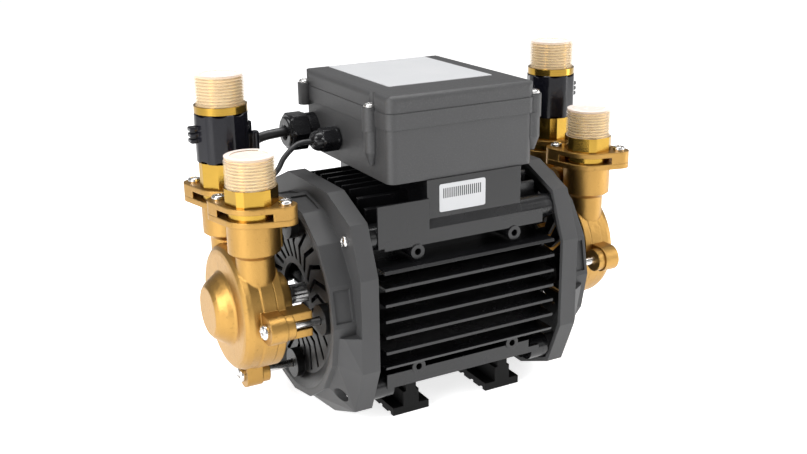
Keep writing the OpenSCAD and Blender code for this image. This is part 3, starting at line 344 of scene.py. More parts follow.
def cover_plastic():
    """Dark satin of the end covers, glossier inside the louvred dish, whose colour there is darkened to near
    black as painted shade.
    """
    finish = Finish("cover_plastic")
    colour = settings("pump_paint").cover
    outer = finish.radius().above(DISH_RADIUS)
    cloud = finish.noise(30, 3)
    grain = finish.noise(2400, 2)
    satin = finish.mix(cloud, lighter(colour, 0.85), lighter(colour, 1.2))
    return finish.surface(
        # Inside the dish radius the base colour falls to 3 percent of the cover's: painted shade.
        base_color=finish.mix(outer, lighter(colour, 0.03), satin), specular_ior_level=0.3,
        roughness=0.3 + outer * 0.12 + grain * 0.1,
        normal=finish.bump(grain, 0.00008, finish.soft_edges(0.0006)))


def black_plastic():
    colour = settings("pump_paint").black_plastic
    return textured_plastic("black_plastic", colour, roughness=0.26, depth=0.00003, edge=0.0005, shine=0.4)


def rubber():
    colour = (0.004, 0.004, 0.004)
    return textured_plastic("foot_rubber", colour, roughness=0.6, depth=0.0001, edge=0.0005, shine=0.15)


def sleeve_plastic():
    """Smooth blue-black moulding of the flow switch sleeves."""
    finish = Finish("sleeve_plastic")
    flow = finish.noise(60, 3, (1, 1, 0.2))
    scuff = finish.noise(700, 3, (1, 1, 0.3))
    return finish.surface(
        base_color=finish.mix(flow, (0.002, 0.002, 0.004, 1), (0.005, 0.005, 0.009, 1)),
        specular_ior_level=0.3,
        roughness=finish.ramp(scuff, [(0.35, 0.12), (0.75, 0.24)]),
        normal=finish.bump(scuff, 0.00003, finish.soft_edges(0.0003)))


def cable():
    """Satin sheath with the faint ripple of the cores under it."""
    finish = Finish("cable_sheath")
    ripple = finish.noise(120, 2)
    skin = finish.noise(1500, 2)
    return finish.surface(
        base_color=finish.mix(ripple, (0.012, 0.012, 0.013, 1), (0.022, 0.022, 0.024, 1)),
        roughness=finish.ramp(skin, [(0.3, 0.36), (0.7, 0.5)]),
        normal=finish.bump(ripple + skin * 0.2, 0.0001))


def cast_brass():
    """Blasted sand casting: a satin grain, tone clouds and small pits."""
    finish = Finish("cast_brass")
    colour = settings("pump_paint").cast_brass
    cloud = finish.noise(28, 4)
    grain = finish.noise(1700, 3)
    pits = finish.noise(420, 3)
    tone = finish.mix(cloud, lighter(colour, 0.82), lighter(colour, 1.06))
    tone = finish.mix(finish.ramp(pits, [(0.6, 0.0), (0.8, 0.6)]), tone, lighter(colour, 0.5))
    height = grain + pits * 1.5 + cloud
    return finish.surface(
        base_color=tone, metallic=1.0,
        roughness=finish.ramp(grain, [(0.3, 0.34), (0.7, 0.48)]),
        normal=finish.bump(height, 0.0001, finish.soft_edges(0.0012)))


def turned_brass():
    """Bright machined brass with fine tool marks round the port's axis."""
    finish = Finish("turned_brass")
    colour = settings("pump_paint").turned_brass
    marks = finish.noise(90, 2, (1, 1, 45))
    cloud = finish.noise(50, 3)
    return finish.surface(
        base_color=finish.mix(cloud, lighter(colour, 0.8), lighter(colour, 1.1)), metallic=1.0,
        roughness=finish.ramp(marks, [(0.3, 0.1), (0.7, 0.26)]),
        normal=finish.bump(marks, 0.00003, finish.soft_edges(0.0004)))


def plated_steel():
    """Bright zinc plating with light scratches."""
    finish = Finish("plated_steel")
    colour = settings("pump_paint").steel
    cloud = finish.noise(300, 3)
    scratch = finish.noise(500, 2, (0.08, 1, 1))
    return finish.surface(
        base_color=finish.mix(cloud, lighter(colour, 0.75), lighter(colour, 1.1)), metallic=1.0,
        roughness=finish.ramp(scratch, [(0.3, 0.14), (0.7, 0.32)]),
        normal=finish.bump(scratch, 0.00002, finish.soft_edges(0.0003)))


def core_steel():
    """Stacked laminations, seen as fine bands along the shaft."""
    finish = Finish("core_steel")
    band = finish.noise(40, 2, (50, 0.5, 0.5))
    return finish.surface(
        base_color=finish.mix(band, (0.2, 0.2, 0.21, 1), (0.42, 0.42, 0.43, 1)), metallic=1.0,
        roughness=finish.ramp(band, [(0.3, 0.35), (0.7, 0.55)]),
        normal=finish.bump(band, 0.0001))


def copper():
    """Enamelled winding wire."""
    finish = Finish("copper_wire")
    strand = finish.noise(700, 2, (0.1, 1, 1))
    return finish.surface(
        base_color=finish.mix(strand, (0.5, 0.16, 0.05, 1), (0.85, 0.4, 0.2, 1)), metallic=1.0,
        roughness=finish.ramp(strand, [(0.3, 0.2), (0.7, 0.4)]),
        normal=finish.bump(strand, 0.0003))


def off_white():
    """Smooth off-white moulding or ceramic."""
    finish = Finish("off_white")
    cloud = finish.noise(80, 3)
    return finish.surface(
        base_color=finish.mix(cloud, (0.72, 0.7, 0.66, 1), (0.85, 0.83, 0.8, 1)),
        roughness=finish.ramp(cloud, [(0.3, 0.3), (0.7, 0.42)]),
        normal=finish.bump(cloud, 0.00005, finish.soft_edges(0.0004)))


def solder_mask():
    """Green board with paler tracks."""
    finish = Finish("solder_mask")
    track = finish.noise(400, 0, (1, 0.15, 1))
    return finish.surface(
        base_color=finish.mix(track.above(0.55), (0.01, 0.09, 0.03, 1), (0.02, 0.16, 0.06, 1)),
        roughness=finish.ramp(track, [(0.4, 0.2), (0.6, 0.35)]),
        normal=finish.bump(track, 0.00003))


def label_film():
    """Bare white film with a slight sheen and a faint wave."""
    finish = Finish("label_film")
    wave = finish.noise(45, 2)
    fibre = finish.noise(1200, 2)
    return finish.surface(
        base_color=finish.mix(wave, (0.44, 0.45, 0.46, 1), (0.5, 0.5, 0.51, 1)),
        roughness=finish.ramp(fibre, [(0.3, 0.3), (0.7, 0.42)]),
        normal=finish.bump(wave, 0.0002))


def milky_plastic():
    """Soft translucent thread protector: its sides are tinted warm as painted glow of the brass behind them,
    and faces that look up or down are painted paler and more opaque as painted light on its top.
    """
    finish = Finish("milky_plastic")
    colour = settings("pump_paint").milky_cap
    # The warm share below is painted glow of the brass seen through the sides.
    wall = [part * share for part, share in zip(colour, (1.0, 0.84, 0.56))]
    haze = finish.noise(90, 3)
    level = finish.level()
    tint = finish.mix(haze, lighter(wall, 0.9), lighter(wall, 1.1))
    streak = finish.noise(240, 2, (1, 1, 0.15))
    turns = finish.parts(finish.place())[2] * (2 * math.pi / THREAD_PITCH)
    ridge = turns.sum("SINE", turns, 0)
    return finish.surface(
        # Faces that look up or down take the pale colour and more opacity: painted light on the top.
        base_color=finish.mix(level, tint, opaque(colour)),
        roughness=finish.ramp(streak, [(0.3, 0.16), (0.7, 0.3)]),
        alpha=0.26 + ridge * 0.08 + haze * 0.03 + level * 0.45,
        normal=finish.bump(streak, 0.00005))


FINISHES = {
    "black_casting": enamel, "core_steel": core_steel, "copper": copper, "shaft_steel": plated_steel,
    "screw_steel": plated_steel, "grey_plastic": grey_plastic, "black_plastic": black_plastic,
    "rubber": rubber, "cable": cable, "white_label": label_film, "white_plastic": off_white,
    "board": solder_mask, "cast_brass": cast_brass, "machined_brass": turned_brass,
    "milky_plastic": milky_plastic,
}
OWN_FINISH = {"end_cover_left": cover_plastic, "end_cover_right": cover_plastic}
finished = {}


def finish_of(maker):
    """The material of a finish, made once."""
    if maker not in finished:
        finished[maker] = maker()
    return finished[maker]


# Making pieces


def add_piece(name, shape, material, body):
    """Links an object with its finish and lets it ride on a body."""
    piece = bpy.data.objects.new(name, shape)
    bpy.context.scene.collection.objects.link(piece)
    shape.materials.append(material)
    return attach(piece, body)


def mesh_of(name, form, sharp=40):
    """A mesh from a bmesh, smooth but for edges sharper than the angle."""
    bmesh.ops.remove_doubles(form, verts=form.verts, dist=1e-7)
    bmesh.ops.recalc_face_normals(form, faces=form.faces)
    mesh = bpy.data.meshes.new(name)
    form.to_mesh(mesh)
    form.free()
    mesh.shade_smooth()
    mesh.set_sharp_from_angle(angle=math.radians(sharp))
    return mesh


def skin_rings(form, rings):
    """Joins closed rings of points one after another and shuts both ends."""
    rings = [[form.verts.new(point) for point in ring] for ring in rings]
    for a, b in zip(rings, rings[1:]):
        for k in range(len(a)):
            after = (k + 1) % len(a)
            form.faces.new((a[k], a[after], b[after], b[k]))
    form.faces.new(rings[0][::-1])
    form.faces.new(rings[-1])


def skin_loop(form, sections):
    """Joins closed sections one after another, and the last to the first."""
    rings = [[form.verts.new(point) for point in section] for section in sections]
    for a, b in zip(rings, rings[1:] + rings[:1]):
        for k in range(len(a)):
            after = (k + 1) % len(a)
            form.faces.new((a[k], a[after], b[after], b[k]))


def turned(form, profile, place, sides, trim=None):
    """A solid turned about its own X axis, whose radius and place along it may be trimmed at an angle."""
    rings = []
    for along, radius in profile:
        ring = []
        for k in range(sides):
            angle = 2 * math.pi * k / sides
            x, r = trim(angle, along, radius) if trim else (along, radius)
            ring.append(place @ Vector((x, r * math.cos(angle), r * math.sin(angle))))
        rings.append(ring)
    skin_rings(form, rings)


def at_end(sign):
    """Turns what is built at the right end of the motor to the end of that sign, at the shaft's height."""
    return Matrix.Translation((0, 0, AXIS)) @ Matrix.Rotation(0 if sign > 0 else math.pi, 4, "Z")


def upright(x, y):
    """Stands what is built along X upright at a place of the plan."""
    return Matrix.Translation((x, y, AXIS)) @ Matrix.Rotation(-math.pi / 2, 4, "Y")


def smooth_route(points, steps=8):
    """A smooth curve through the points, as the part's source draws it."""
    points = [Vector(p) for p in points]
    last = len(points) - 1
    route = []
    for i in range(last):
        a, b, c, d = points[max(i - 1, 0)], points[i], points[i + 1], points[min(i + 2, last)]
        for step in range(steps):
            t = step / steps
            bend = (2 * a - 5 * b + 4 * c - d) * t ** 2 + (3 * b - a - 3 * c + d) * t ** 3
            route.append(0.5 * (2 * b + (c - a) * t + bend))
    return route + [points[last]]


def route_length(route):
    return sum((b - a).length for a, b in zip(route, route[1:]))


def millimetres(points, start=0):
    """A turned profile given in millimetres, moved along its axis to a start in metres."""
    return [(start + along * MM, radius * MM) for along, radius in points]


def round_cable(name, route, diameter):
    """A curve of one open spline with a round section."""
    curve = bpy.data.curves.new(name, "CURVE")
    curve.dimensions = "3D"
    curve.bevel_depth = diameter / 2
    curve.bevel_resolution = 5
    curve.use_fill_caps = True
    spline = curve.splines.new("POLY")
    spline.points.add(len(route) - 1)
    for point, place in zip(spline.points, route):
        point.co = (*place, 1)
    spline.use_smooth = True
    return curve


# Cables

FLEX_ROUTE = [
    (-0.06325, 0.0455, 0.1595), (-0.07425, 0.0455, 0.1595), (-0.086, 0.047, 0.157), (-0.097, 0.05, 0.148),
    (-0.104, 0.055, 0.134), (-0.107, 0.062, 0.115), (-0.107, 0.068, 0.092), (-0.105, 0.075, 0.068),
    (-0.1, 0.081, 0.044), (-0.09, 0.085, 0.024), (-0.074, 0.087, 0.011), (-0.054, 0.0865, 0.0039),
    (-0.024, 0.0865, 0.0039), (0.01, 0.0865, 0.0039), (0.048, 0.0865, 0.0039), (0.054, 0.0865, 0.0039)]
TAIL_ROUTE = [
    (0.066, 0.0865, 0.0105), (0.072, 0.0865, 0.0105), (0.086, 0.0865, 0.0105), (0.098, 0.0865, 0.0095),
    (0.11, 0.0875, 0.0039), (0.12, 0.0885, 0.0039), (0.13, 0.0885, 0.0039), (0.14, 0.0885, 0.0039)]
COIL_MIDDLE = (0.06, 0.13)
COIL_HEIGHT = 0.0039
COIL_STEPS = 48
CLIMB_START = 2.25
LEAD_ROUTE = [
    (-0.06115, 0.01, 0.1605), (-0.07215, 0.01, 0.1605), (-0.078, 0.009, 0.1585), (-0.085, 0.007, 0.1535),
    (-0.09, 0.005, 0.1475), (-0.094, 0.0075, 0.1435), (-0.0975, 0.012, 0.1455), (-0.0992, 0.0148, 0.1515),
    (-0.0993, 0.0149, 0.1545), (-0.0993, 0.0149, 0.1585)]


def coil_route(flex):
    """Two layers of loops: spiralling in, climbing in one half turn and spiralling out."""
    route = []
    for i in range(int(2 * flex.half_turns * COIL_STEPS) + 1):
        turn = i / COIL_STEPS
        radius = flex.loop_radius + flex.loop_step * abs(turn - flex.half_turns)
        climbed = min(max(2 * (turn - CLIMB_START), 0), 1)
        route.append(Vector((
            COIL_MIDDLE[0] + radius * math.sin(2 * math.pi * turn),
            COIL_MIDDLE[1] - radius * math.cos(2 * math.pi * turn),
            COIL_HEIGHT + flex.loop_step * (1 - math.cos(math.pi * climbed)) / 2)))
    return route


class PUMP_OT_flex(bpy.types.Operator):
    """Lay the mains flex from its gland to the coil behind the pump"""

    bl_idname = "pump.flex"
    bl_label = "Mains flex"

    def execute(self, context):
        flex = settings("pump_flex")
        route = smooth_route(FLEX_ROUTE) + coil_route(flex) + smooth_route(TAIL_ROUTE)
        piece = add_piece("mains_cord", round_cable("mains_cord", route, flex.diameter),
                          finish_of(cable), MOTOR)
        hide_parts("mains_flex", "flex_coil", "flex_tail")
        round(route_length(route), 3)
        return {"FINISHED"}


class PUMP_OT_switch_leads(bpy.types.Operator):
    """Run the two flow switch leads from the box to the sleeves"""

    bl_idname = "pump.switch_leads"
    bl_label = "Flow switch leads"

    def execute(self, context):
        for side, sign in SIDES.items():
            route = smooth_route([(-sign * x, y, z) for x, y, z in LEAD_ROUTE])
            name = f"lead_{side}"
            piece = add_piece(name, round_cable(name, route, settings("pump_flex").lead_diameter),
                              finish_of(cable), MOTOR)
            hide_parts(f"switch_lead_{side}")
        return {"FINISHED"}


# Screws

BOLT_CIRCLE = 0.045
PORT_X = 0.1167
PORT_Y = 0.02125
CLAMP_REACH = 0.0203
CORNER_Y = 0.0515
CORNER_Z = 0.0465
RECESS_WIDTH = 0.14
RECESS_REACH = 0.62
CROWN_STEPS = 12
EAR_X = 0.05015
EAR_SPOTS = [(-1, -0.037), (-1, 0.053), (1, -0.053), (1, 0.037)]


def bolt_places():
    quarter = math.pi / 2
    out = Matrix.Translation((0, BOLT_CIRCLE, 0))
    return [at_end(sign) @ Matrix.Rotation(turn * quarter, 4, "X") @ out
            for sign in SIDES.values() for turn in range(4)]


def corner_places():
    return [at_end(sign) @ Matrix.Translation((0, y, z))
            for sign in SIDES.values() for y in (-CORNER_Y, CORNER_Y) for z in (-CORNER_Z, CORNER_Z)]


def clamp_places():
    reach = CLAMP_REACH * math.sqrt(0.5)
    return [upright(x * PORT_X + way * reach, y * PORT_Y - way * reach)
            for x in (-1, 1) for y in (-1, 1) for way in (-1, 1)]


def ear_places():
    return [upright(side * EAR_X, y) for side, y in EAR_SPOTS]


# Where the screws are, then shank radius, start, seat, head radius and head height in millimetres
SCREW_SETS = {
    "pump_bolts": (bolt_places, 2.4, 65, 121, 4.4, 3.4),
    "cover_screws": (corner_places, 1.9, 52, 74, 3.4, 2.4),
    "clamp_screws": (clamp_places, 1.9, 57.7, 68.7, 3.75, 2.8),
    "lid_screws": (ear_places, 1.5, 109, 117.4, 3.4, 2.2),
}


def cross_recess(head, height, seat, share):
    """Trims a domed head with a cross recess that gets shallower towards its ends."""
    half_width = head * RECESS_WIDTH
    reach = head * RECESS_REACH

    def trim(angle, along, radius):
        y, z = abs(radius * math.cos(angle)), abs(radius * math.sin(angle))
        near, far = min(y, z), max(y, z)
        if along < seat + height * 0.4 or near > half_width or far > reach:
            return along, radius
        return along - share * height * (1 - 0.5 * far / reach), radius
    return trim


def screw(form, place, shank, start, seat, head, height, fittings):
    """A pan head screw along X: its shank up to the seat, then a crowned head."""
    crown = fittings.dome_share * height
    side = height - crown
    profile = [(start, shank * 0.7), (start + shank * 0.3, shank), (seat, shank), (seat, head * 0.96),
               (seat + side * 0.3, head)]
    for step in range(CROWN_STEPS + 1):
        share = 1 - step / CROWN_STEPS
        profile.append((seat + side + crown * math.sqrt(max(0, 1 - share ** 3)), head * max(share, 0.02)))
    recess = cross_recess(head, height, seat, fittings.recess_share)
    turned(form, profile, place, sides=48, trim=recess)


class PUMP_OT_screws(bpy.types.Operator):
    """Turn the pan head screws of the pumps, clamps, end covers and lid"""

    bl_idname = "pump.screws"
    bl_label = "Screws"

    def execute(self, context):
        for node, (places, *sizes) in SCREW_SETS.items():
            form = bmesh.new()
            for place in places():
                screw(form, place, *[size * MM for size in sizes], settings("pump_fittings"))
            mesh = mesh_of(node, form, sharp=50)
            piece = add_piece(f"{node}_dressed", mesh, finish_of(plated_steel), MOTOR)
            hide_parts(node)
        return {"FINISHED"}


# Glands

BOX_SIDE = 0.04915
MAINS_GLAND = (0.0455, 0.089)
LEAD_GLAND = (0.01, 0.09)
GLAND_SIDES = 96
CORNER_ROUNDING = 0.985
NUT_SEAT = 5 * MM
NUT_LENGTH = 12.5 * MM
LEAD_HEXAGON_LENGTH = 11 * MM
LEAD_COLLAR_RADIUS = 7.5 * MM
DOME_HEIGHT = 6 * MM
DOME_MOUTH = 2.2 * MM
DOME_ROUND = 4.2 * MM
SLIT_DEPTH = 0.8 * MM
HALF_SLIT = 0.14


def hexagonal(flats, corner):
    """Trims a turned shape to a hexagon with slightly rounded corners."""
    def trim(angle, along, radius):
        turn = math.degrees(angle) % 60 - 30
        return along, min(radius, flats / 2 / math.cos(math.radians(turn)), corner)
    return trim


def slitted(slits, depth, start):
    """Trims narrow slits into a dome past its start."""
    def trim(angle, along, radius):
        turn = (math.degrees(angle) * slits / 360) % 1
        inside = along > start and abs(turn - 0.5) < HALF_SLIT
        return along, radius - depth if inside else radius
    return trim


class PUMP_OT_glands(bpy.types.Operator):
    """Mould the mains gland's nut and the two lead glands with slit domes"""

    bl_idname = "pump.glands"
    bl_label = "Cable glands"

    def execute(self, context):
        fittings = settings("pump_fittings")
        left = Matrix.Translation((0, 0, AXIS)) @ Matrix.Rotation(math.pi, 4, "Z")
        place = left @ Matrix.Translation((0, -MAINS_GLAND[0], MAINS_GLAND[1]))
        self.nut(place, fittings)
        for side, sign in SIDES.items():
            place = at_end(sign) @ Matrix.Translation((0, sign * LEAD_GLAND[0], LEAD_GLAND[1]))
            self.lead_gland(side, place, fittings)
        return {"FINISHED"}

    def nut(self, place, fittings):
        """The mains gland's chamfered hexagon nut with its round nose."""
        flats = fittings.nut_flats
        corner = flats / math.sqrt(3) * CORNER_ROUNDING
        start = BOX_SIDE + NUT_SEAT
        end = start + NUT_LENGTH
        form = bmesh.new()
        profile = [(start, flats * 0.47), (start + 0.8 * MM, flats / 2), (start + 1.4 * MM, corner),
                   (end - 1.6 * MM, corner), (end, flats * 0.49)]
        profile += millimetres([(0, 9.5), (1.1, 9.3), (1.6, 8.7), (1.6, 5.2), (0.6, 4.2), (-4, 3.3)], end)
        turned(form, profile, place, GLAND_SIDES, hexagonal(flats, corner))
        mesh = mesh_of("mains_gland_nut", form, sharp=25)
        piece = add_piece("mains_gland_nut", mesh, finish_of(black_plastic), MOTOR)
        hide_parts("mains_gland_cap")

    def lead_gland(self, side, place, fittings):
        """One small gland: thread, collar, hexagon and a slit dome."""
        flats = fittings.lead_flats
        corner = flats / math.sqrt(3) * CORNER_ROUNDING
        hexagon_end = BOX_SIDE + LEAD_HEXAGON_LENGTH
        form = bmesh.new()
        profile = millimetres([(-5, 4.5), (0, 4.5), (0, 7.4), (1.6, 7.5), (2, 7)], BOX_SIDE)
        profile += [(BOX_SIDE + 2.4 * MM, corner), (hexagon_end - 1 * MM, corner), (hexagon_end, 6.6 * MM)]
        turned(form, profile, place, GLAND_SIDES, hexagonal(flats, LEAD_COLLAR_RADIUS))
        dome = millimetres([(-1, 6.2), (0.2, 6.4)], hexagon_end)
        for angle in range(10, 81, 10):
            rise = math.radians(angle)
            along = hexagon_end + DOME_HEIGHT * math.sin(rise)
            dome.append((along, DOME_MOUTH + DOME_ROUND * math.cos(rise)))
        dome += millimetres([(0, 2.6), (-0.4, 1.9), (-4, 1.9)], hexagon_end + DOME_HEIGHT)
        slits = slitted(fittings.slits, SLIT_DEPTH, hexagon_end + 0.3 * MM)
        turned(form, dome, place, GLAND_SIDES, slits)
        name = f"lead_gland_{side}_dressed"
        mesh = mesh_of(name, form, sharp=25)
        piece = add_piece(name, mesh, finish_of(black_plastic), MOTOR)
        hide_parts(f"lead_gland_{side}")


# Flow switch sleeves

SLEEVE_LOW = AXIS + 83.7 * MM
SLEEVE_HIGH = AXIS + 112.3 * MM
SLEEVE_BORE = 12.35 * MM
SLEEVE_FLATS = 8
NARROW_HALF = 7
CLIP_LOW = AXIS + 95.6 * MM
PRONGS = 3
PRONG_PITCH = 3.4 * MM
PRONG_HEIGHT = 2.7 * MM
PRONG_REACH = 4 * MM
NUB_HEIGHT = 9.5 * MM
NUB_REACH = 1.4 * MM
PRONG_ROOT = 2 * MM
STUB_LOW = 88 * MM
STUB_HIGH = 100 * MM
STUB_RADIUS = 2.6 * MM
STUB_REACH = 18.5 * MM
STUB_ANGLE = -160


def round_port(sign, angle, radius, height):
    """A point round a rear port, where angle 0 looks away from the motor."""
    angle = math.radians(angle)
    return Vector((sign * (PORT_X + radius * math.cos(angle)), PORT_Y + radius * math.sin(angle), height))


class PUMP_OT_sleeves(bpy.types.Operator):
    """Mould the flow switch sleeves with their flats, clips and lead stubs"""

    bl_idname = "pump.sleeves"
    bl_label = "Flow switch sleeves"

    def execute(self, context):
        fittings = settings("pump_fittings")
        for side, sign in SIDES.items():
            form = bmesh.new()
            self.shell(form, sign, fittings)
            for prong in range(PRONGS):
                low = CLIP_LOW + prong * PRONG_PITCH
                self.tongue(form, sign, fittings, 1, low, PRONG_HEIGHT, PRONG_REACH)
            self.tongue(form, sign, fittings, -1, CLIP_LOW, NUB_HEIGHT, NUB_REACH)
            self.stub(form, sign, fittings)
            name = f"sleeve_{side}_dressed"
            mesh = mesh_of(name, form, sharp=30)
            piece = add_piece(name, mesh, finish_of(sleeve_plastic), MOTOR)
            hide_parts(f"switch_sleeve_{side}")
        return {"FINISHED"}

    def shell(self, form, sign, fittings):
        """Broad flats with narrow flats between them, scalloped at both ends."""
        sector = 360 / SLEEVE_FLATS
        broad_half = sector / 2 - NARROW_HALF
        outer = fittings.sleeve_radius
        edge = 0.4 * MM
        sections = []
        for flat in range(SLEEVE_FLATS):
            for share in (-1, -0.8, -0.5, -0.2, 0.2, 0.5, 0.8, 1):
                angle = sector * (flat + 0.5) + share * broad_half
                slant = math.cos(math.radians(broad_half)) / math.cos(math.radians(share * broad_half))
                radius = outer * slant
                dip = fittings.scallop * (1 - share ** 2)
                low, high = SLEEVE_LOW + dip, SLEEVE_HIGH - dip
                section = [(SLEEVE_BORE, SLEEVE_LOW), (radius - edge, low), (radius, low + edge),
                           (radius, high - edge), (radius - edge, high), (SLEEVE_BORE, SLEEVE_HIGH)]
                sections.append([round_port(sign, angle, r, z) for r, z in section])
        skin_loop(form, sections)

    def tongue(self, form, sign, fittings, way, low, height, proud):
        """A rounded tongue that stands out of the sleeve, away from the motor or, for way -1, towards it."""
        outer = fittings.sleeve_radius
        half = 3 * MM
        soft = 0.5 * MM
        rings = []
        steps = ((-PRONG_ROOT, 0), (proud - 2 * soft, 0), (proud - soft / 2, soft / 2), (proud, soft))
        for reach, inset in steps:
            outline = rounded_corners(-half + inset, low + inset, half - inset, low + height - inset, soft)
            x = sign * (PORT_X + way * (outer + reach))
            rings.append([Vector((x, PORT_Y + y, z)) for y, z in outline])
        skin_rings(form, rings)

    def stub(self, form, sign, fittings):
        """The small upright socket that the lead enters from below."""
        middle = round_port(sign, STUB_ANGLE, STUB_REACH, 0)
        low, high = STUB_LOW, STUB_HIGH
        profile = [(low, STUB_RADIUS * 0.75), (low + 0.6 * MM, STUB_RADIUS), (high - 1.2 * MM, STUB_RADIUS),
                   (high - 0.4 * MM, STUB_RADIUS * 0.8), (high, STUB_RADIUS * 0.4)]
        turned(form, profile, upright(middle.x, middle.y), sides=24)
        rings = []
        for reach in (fittings.sleeve_radius - PRONG_ROOT, STUB_REACH):
            across = 8 * fittings.sleeve_radius / reach
            rings.append([round_port(sign, STUB_ANGLE + way * across, reach, AXIS + z)
                          for way, z in ((-1, low), (1, low), (1, high - 1.5 * MM), (-1, high - 1.5 * MM))])
        skin_rings(form, rings)


# Labels

LID_TOP = AXIS + 125.8 * MM
LID_LABEL = (-0.034, -0.03, 0.036, 0.052)
PEDESTAL_FACE = -57.3 * MM
SMALL_LABEL = (-0.017, 0.056, 0.014, 0.0725)
LABEL_THICKNESS = 0.3 * MM
LABEL_MARGIN = 2.4 * MM
BAR_LOW = SMALL_LABEL[1] + 8 * MM
BAR_HIGH = SMALL_LABEL[3] - 2.6 * MM
INK_THICKNESS = 0.02 * MM


def rounded_corners(low_x, low_y, high_x, high_y, corner):
    """Points round a rectangle with round corners."""
    points = []
    for x, y, start in ((high_x - corner, low_y + corner, -90), (high_x - corner, high_y - corner, 0),
                        (low_x + corner, high_y - corner, 90), (low_x + corner, low_y + corner, 180)):
        for step in range(0, 91, 15):
            angle = math.radians(start + step)
            points.append((x + corner * math.cos(angle), y + corner * math.sin(angle)))
    return points


def ink():
    """Black print on a label."""
    finish = Finish("label_ink")
    fibre = finish.noise(1500, 2)
    return finish.surface(
        base_color=finish.mix(fibre, (0.01, 0.01, 0.01, 1), (0.04, 0.04, 0.04, 1)),
        roughness=finish.ramp(fibre, [(0.3, 0.35), (0.7, 0.5)]))


class PUMP_OT_labels(bpy.types.Operator):
    """Stick on the bare lid label and the small label with even bars"""

    bl_idname = "pump.labels"
    bl_label = "Blank labels"

    def execute(self, context):
        fittings = settings("pump_fittings")
        form = bmesh.new()
        outline = rounded_corners(*LID_LABEL, fittings.label_corner)
        skin_rings(form, [[Vector((x, y, LID_TOP + lift)) for x, y in outline]
                          for lift in (0, LABEL_THICKNESS)])
        outline = rounded_corners(*SMALL_LABEL, fittings.label_corner)
        skin_rings(form, [[Vector((x, PEDESTAL_FACE - lift, AXIS + z)) for x, z in outline]
                          for lift in (0, LABEL_THICKNESS)])
        mesh = mesh_of("labels", form)
        piece = add_piece("labels", mesh, finish_of(label_film), MOTOR)
        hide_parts("blank_labels")
        self.bars(fittings)
        return {"FINISHED"}

    def bars(self, fittings):
        """Even bars that spell nothing, printed on the small label."""
        first = SMALL_LABEL[0] + LABEL_MARGIN
        pitch = (SMALL_LABEL[2] - LABEL_MARGIN - first) / fittings.bars
        face = PEDESTAL_FACE - LABEL_THICKNESS
        form = bmesh.new()
        for i in range(fittings.bars):
            left = first + i * pitch
            right = left + pitch / 2
            outline = [(left, BAR_LOW), (right, BAR_LOW), (right, BAR_HIGH), (left, BAR_HIGH)]
            skin_rings(form, [[Vector((x, face - lift, AXIS + z)) for x, z in outline]
                              for lift in (-INK_THICKNESS, INK_THICKNESS)])
        add_piece("label_bars", mesh_of("label_bars", form), finish_of(ink), MOTOR)


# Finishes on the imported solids


class PUMP_OT_finishes(bpy.types.Operator):
    """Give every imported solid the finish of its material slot"""

    bl_idname = "pump.finishes"
    bl_label = "Finishes"

    def execute(self, context):
        for entry in frame["record"]["subparts"]:
            node = NODES[entry["node"]]
            maker = OWN_FINISH.get(entry["node"], FINISHES[entry["material_slot"]])
            node.data.materials.clear()
            node.data.materials.append(finish_of(maker))
        return {"FINISHED"}


# Stage

# Size of each light, its place and the point that it shines at
LIGHTS = {
    "key": ((0.35, 0.9), (-0.85, -0.35, 0.55), (0, 0, 0.08)),
    "top": ((0.9, 0.5), (0.05, 0.1, 1.0), (0, 0, 0.1)),
    "front": ((0.9, 0.35), (0.35, -1.1, 0.5), (0, 0, 0.08)),
    "side": ((0.3, 0.9), (0.9, -0.45, 0.4), (0, 0, 0.08)),
}


def area_light(name, power, size, place, target):
    light = bpy.data.lights.new(name, "AREA")
    light.energy = power
    light.shape = "RECTANGLE"
    light.size, light.size_y = size
    lamp = bpy.data.objects.new(name, light)
    lamp.location = place
    lamp.rotation_mode = "QUATERNION"
    lamp.rotation_quaternion = (Vector(target) - Vector(place)).to_track_quat("-Z", "Y")
    bpy.context.scene.collection.objects.link(lamp)


def studio_floor(colour, glow):
    """A plain white floor, lit like a light table."""
    finish = Finish("studio_floor")
    cloud = finish.noise(3, 2)
    material = finish.surface(
        base_color=finish.mix(cloud, lighter(colour, 0.98), opaque(colour)),
        roughness=finish.ramp(cloud, [(0.3, 0.6), (0.7, 0.7)]),
        emission_color=(1, 1, 1, 1), emission_strength=glow)
    mesh = bpy.data.meshes.new("studio_floor")
    form = bmesh.new()
    bmesh.ops.create_grid(form, x_segments=1, y_segments=1, size=6)
    form.to_mesh(mesh)
    form.free()
    mesh.materials.append(material)
    floor = bpy.data.objects.new("studio_floor", mesh)
    bpy.context.scene.collection.objects.link(floor)


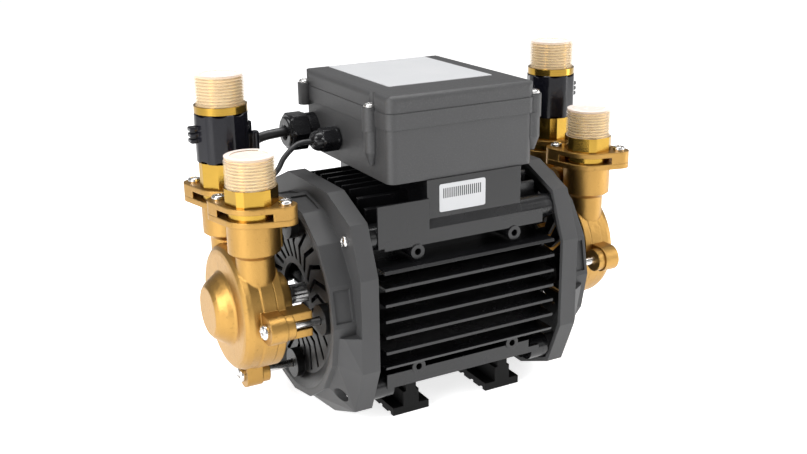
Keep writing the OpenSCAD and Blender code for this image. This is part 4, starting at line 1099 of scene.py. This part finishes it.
class PUMP_OT_studio(bpy.types.Operator):
    """Set the camera, the floor and the soft lights"""

    bl_idname = "pump.studio"
    bl_label = "Studio"

    def execute(self, context):
        studio = settings("pump_studio")
        scene = context.scene
        camera = bpy.data.objects.new("camera", bpy.data.cameras.new("camera"))
        camera.data.lens = studio.lens
        camera.data.clip_start = 0.01
        look = Vector((math.cos(studio.elevation) * -math.sin(studio.azimuth),
                       math.cos(studio.elevation) * math.cos(studio.azimuth), -math.sin(studio.elevation)))
        camera.rotation_mode = "QUATERNION"
        camera.rotation_quaternion = look.to_track_quat("-Z", "Y") @ Quaternion((0, 0, 1), studio.roll)
        camera.location = studio.position
        scene.collection.objects.link(camera)
        scene.camera = camera
        scene.view_settings.view_transform = "Standard"
        world = bpy.data.worlds.new("room")
        world.use_nodes = True
        world.node_tree.nodes["Background"].inputs["Color"].default_value = (1, 1, 1, 1)
        world.node_tree.nodes["Background"].inputs["Strength"].default_value = studio.room
        scene.world = world
        studio_floor(studio.floor_colour, studio.floor_glow)
        for name, (size, place, target) in LIGHTS.items():
            area_light(name, getattr(studio, f"{name}_power"), size, place, target)
        return {"FINISHED"}


OPERATORS = (PUMP_OT_studio, PUMP_OT_flex, PUMP_OT_switch_leads, PUMP_OT_finishes, PUMP_OT_screws,
             PUMP_OT_glands, PUMP_OT_sleeves, PUMP_OT_labels)


class PUMP_PT_panel(bpy.types.Panel):
    """Buttons and sizes of the shower pump"""

    bl_idname = "PUMP_PT_panel"
    bl_label = "Shower Pump"
    bl_space_type = "VIEW_3D"
    bl_region_type = "UI"
    bl_category = "Shower Pump"

    def draw(self, context):
        for operator in OPERATORS:
            self.layout.operator(operator.bl_idname)
        for name, group in SETTINGS.items():
            box = self.layout.box()
            for field in group.__annotations__:
                box.prop(getattr(context.scene, name), field)


CLASSES = (*SETTINGS.values(), *OPERATORS, PUMP_PT_panel)


def register():
    for made in CLASSES:
        bpy.utils.register_class(made)
    for name, group in SETTINGS.items():
        setattr(bpy.types.Scene, name, bpy.props.PointerProperty(type=group))


def unregister():
    for name in SETTINGS:
        delattr(bpy.types.Scene, name)
    for made in reversed(CLASSES):
        bpy.utils.unregister_class(made)


def main():
    register()
    for operator in OPERATORS:
        section, name = operator.bl_idname.split(".")
        getattr(getattr(bpy.ops, section), name)()


if __name__ == "__main__":
    main()
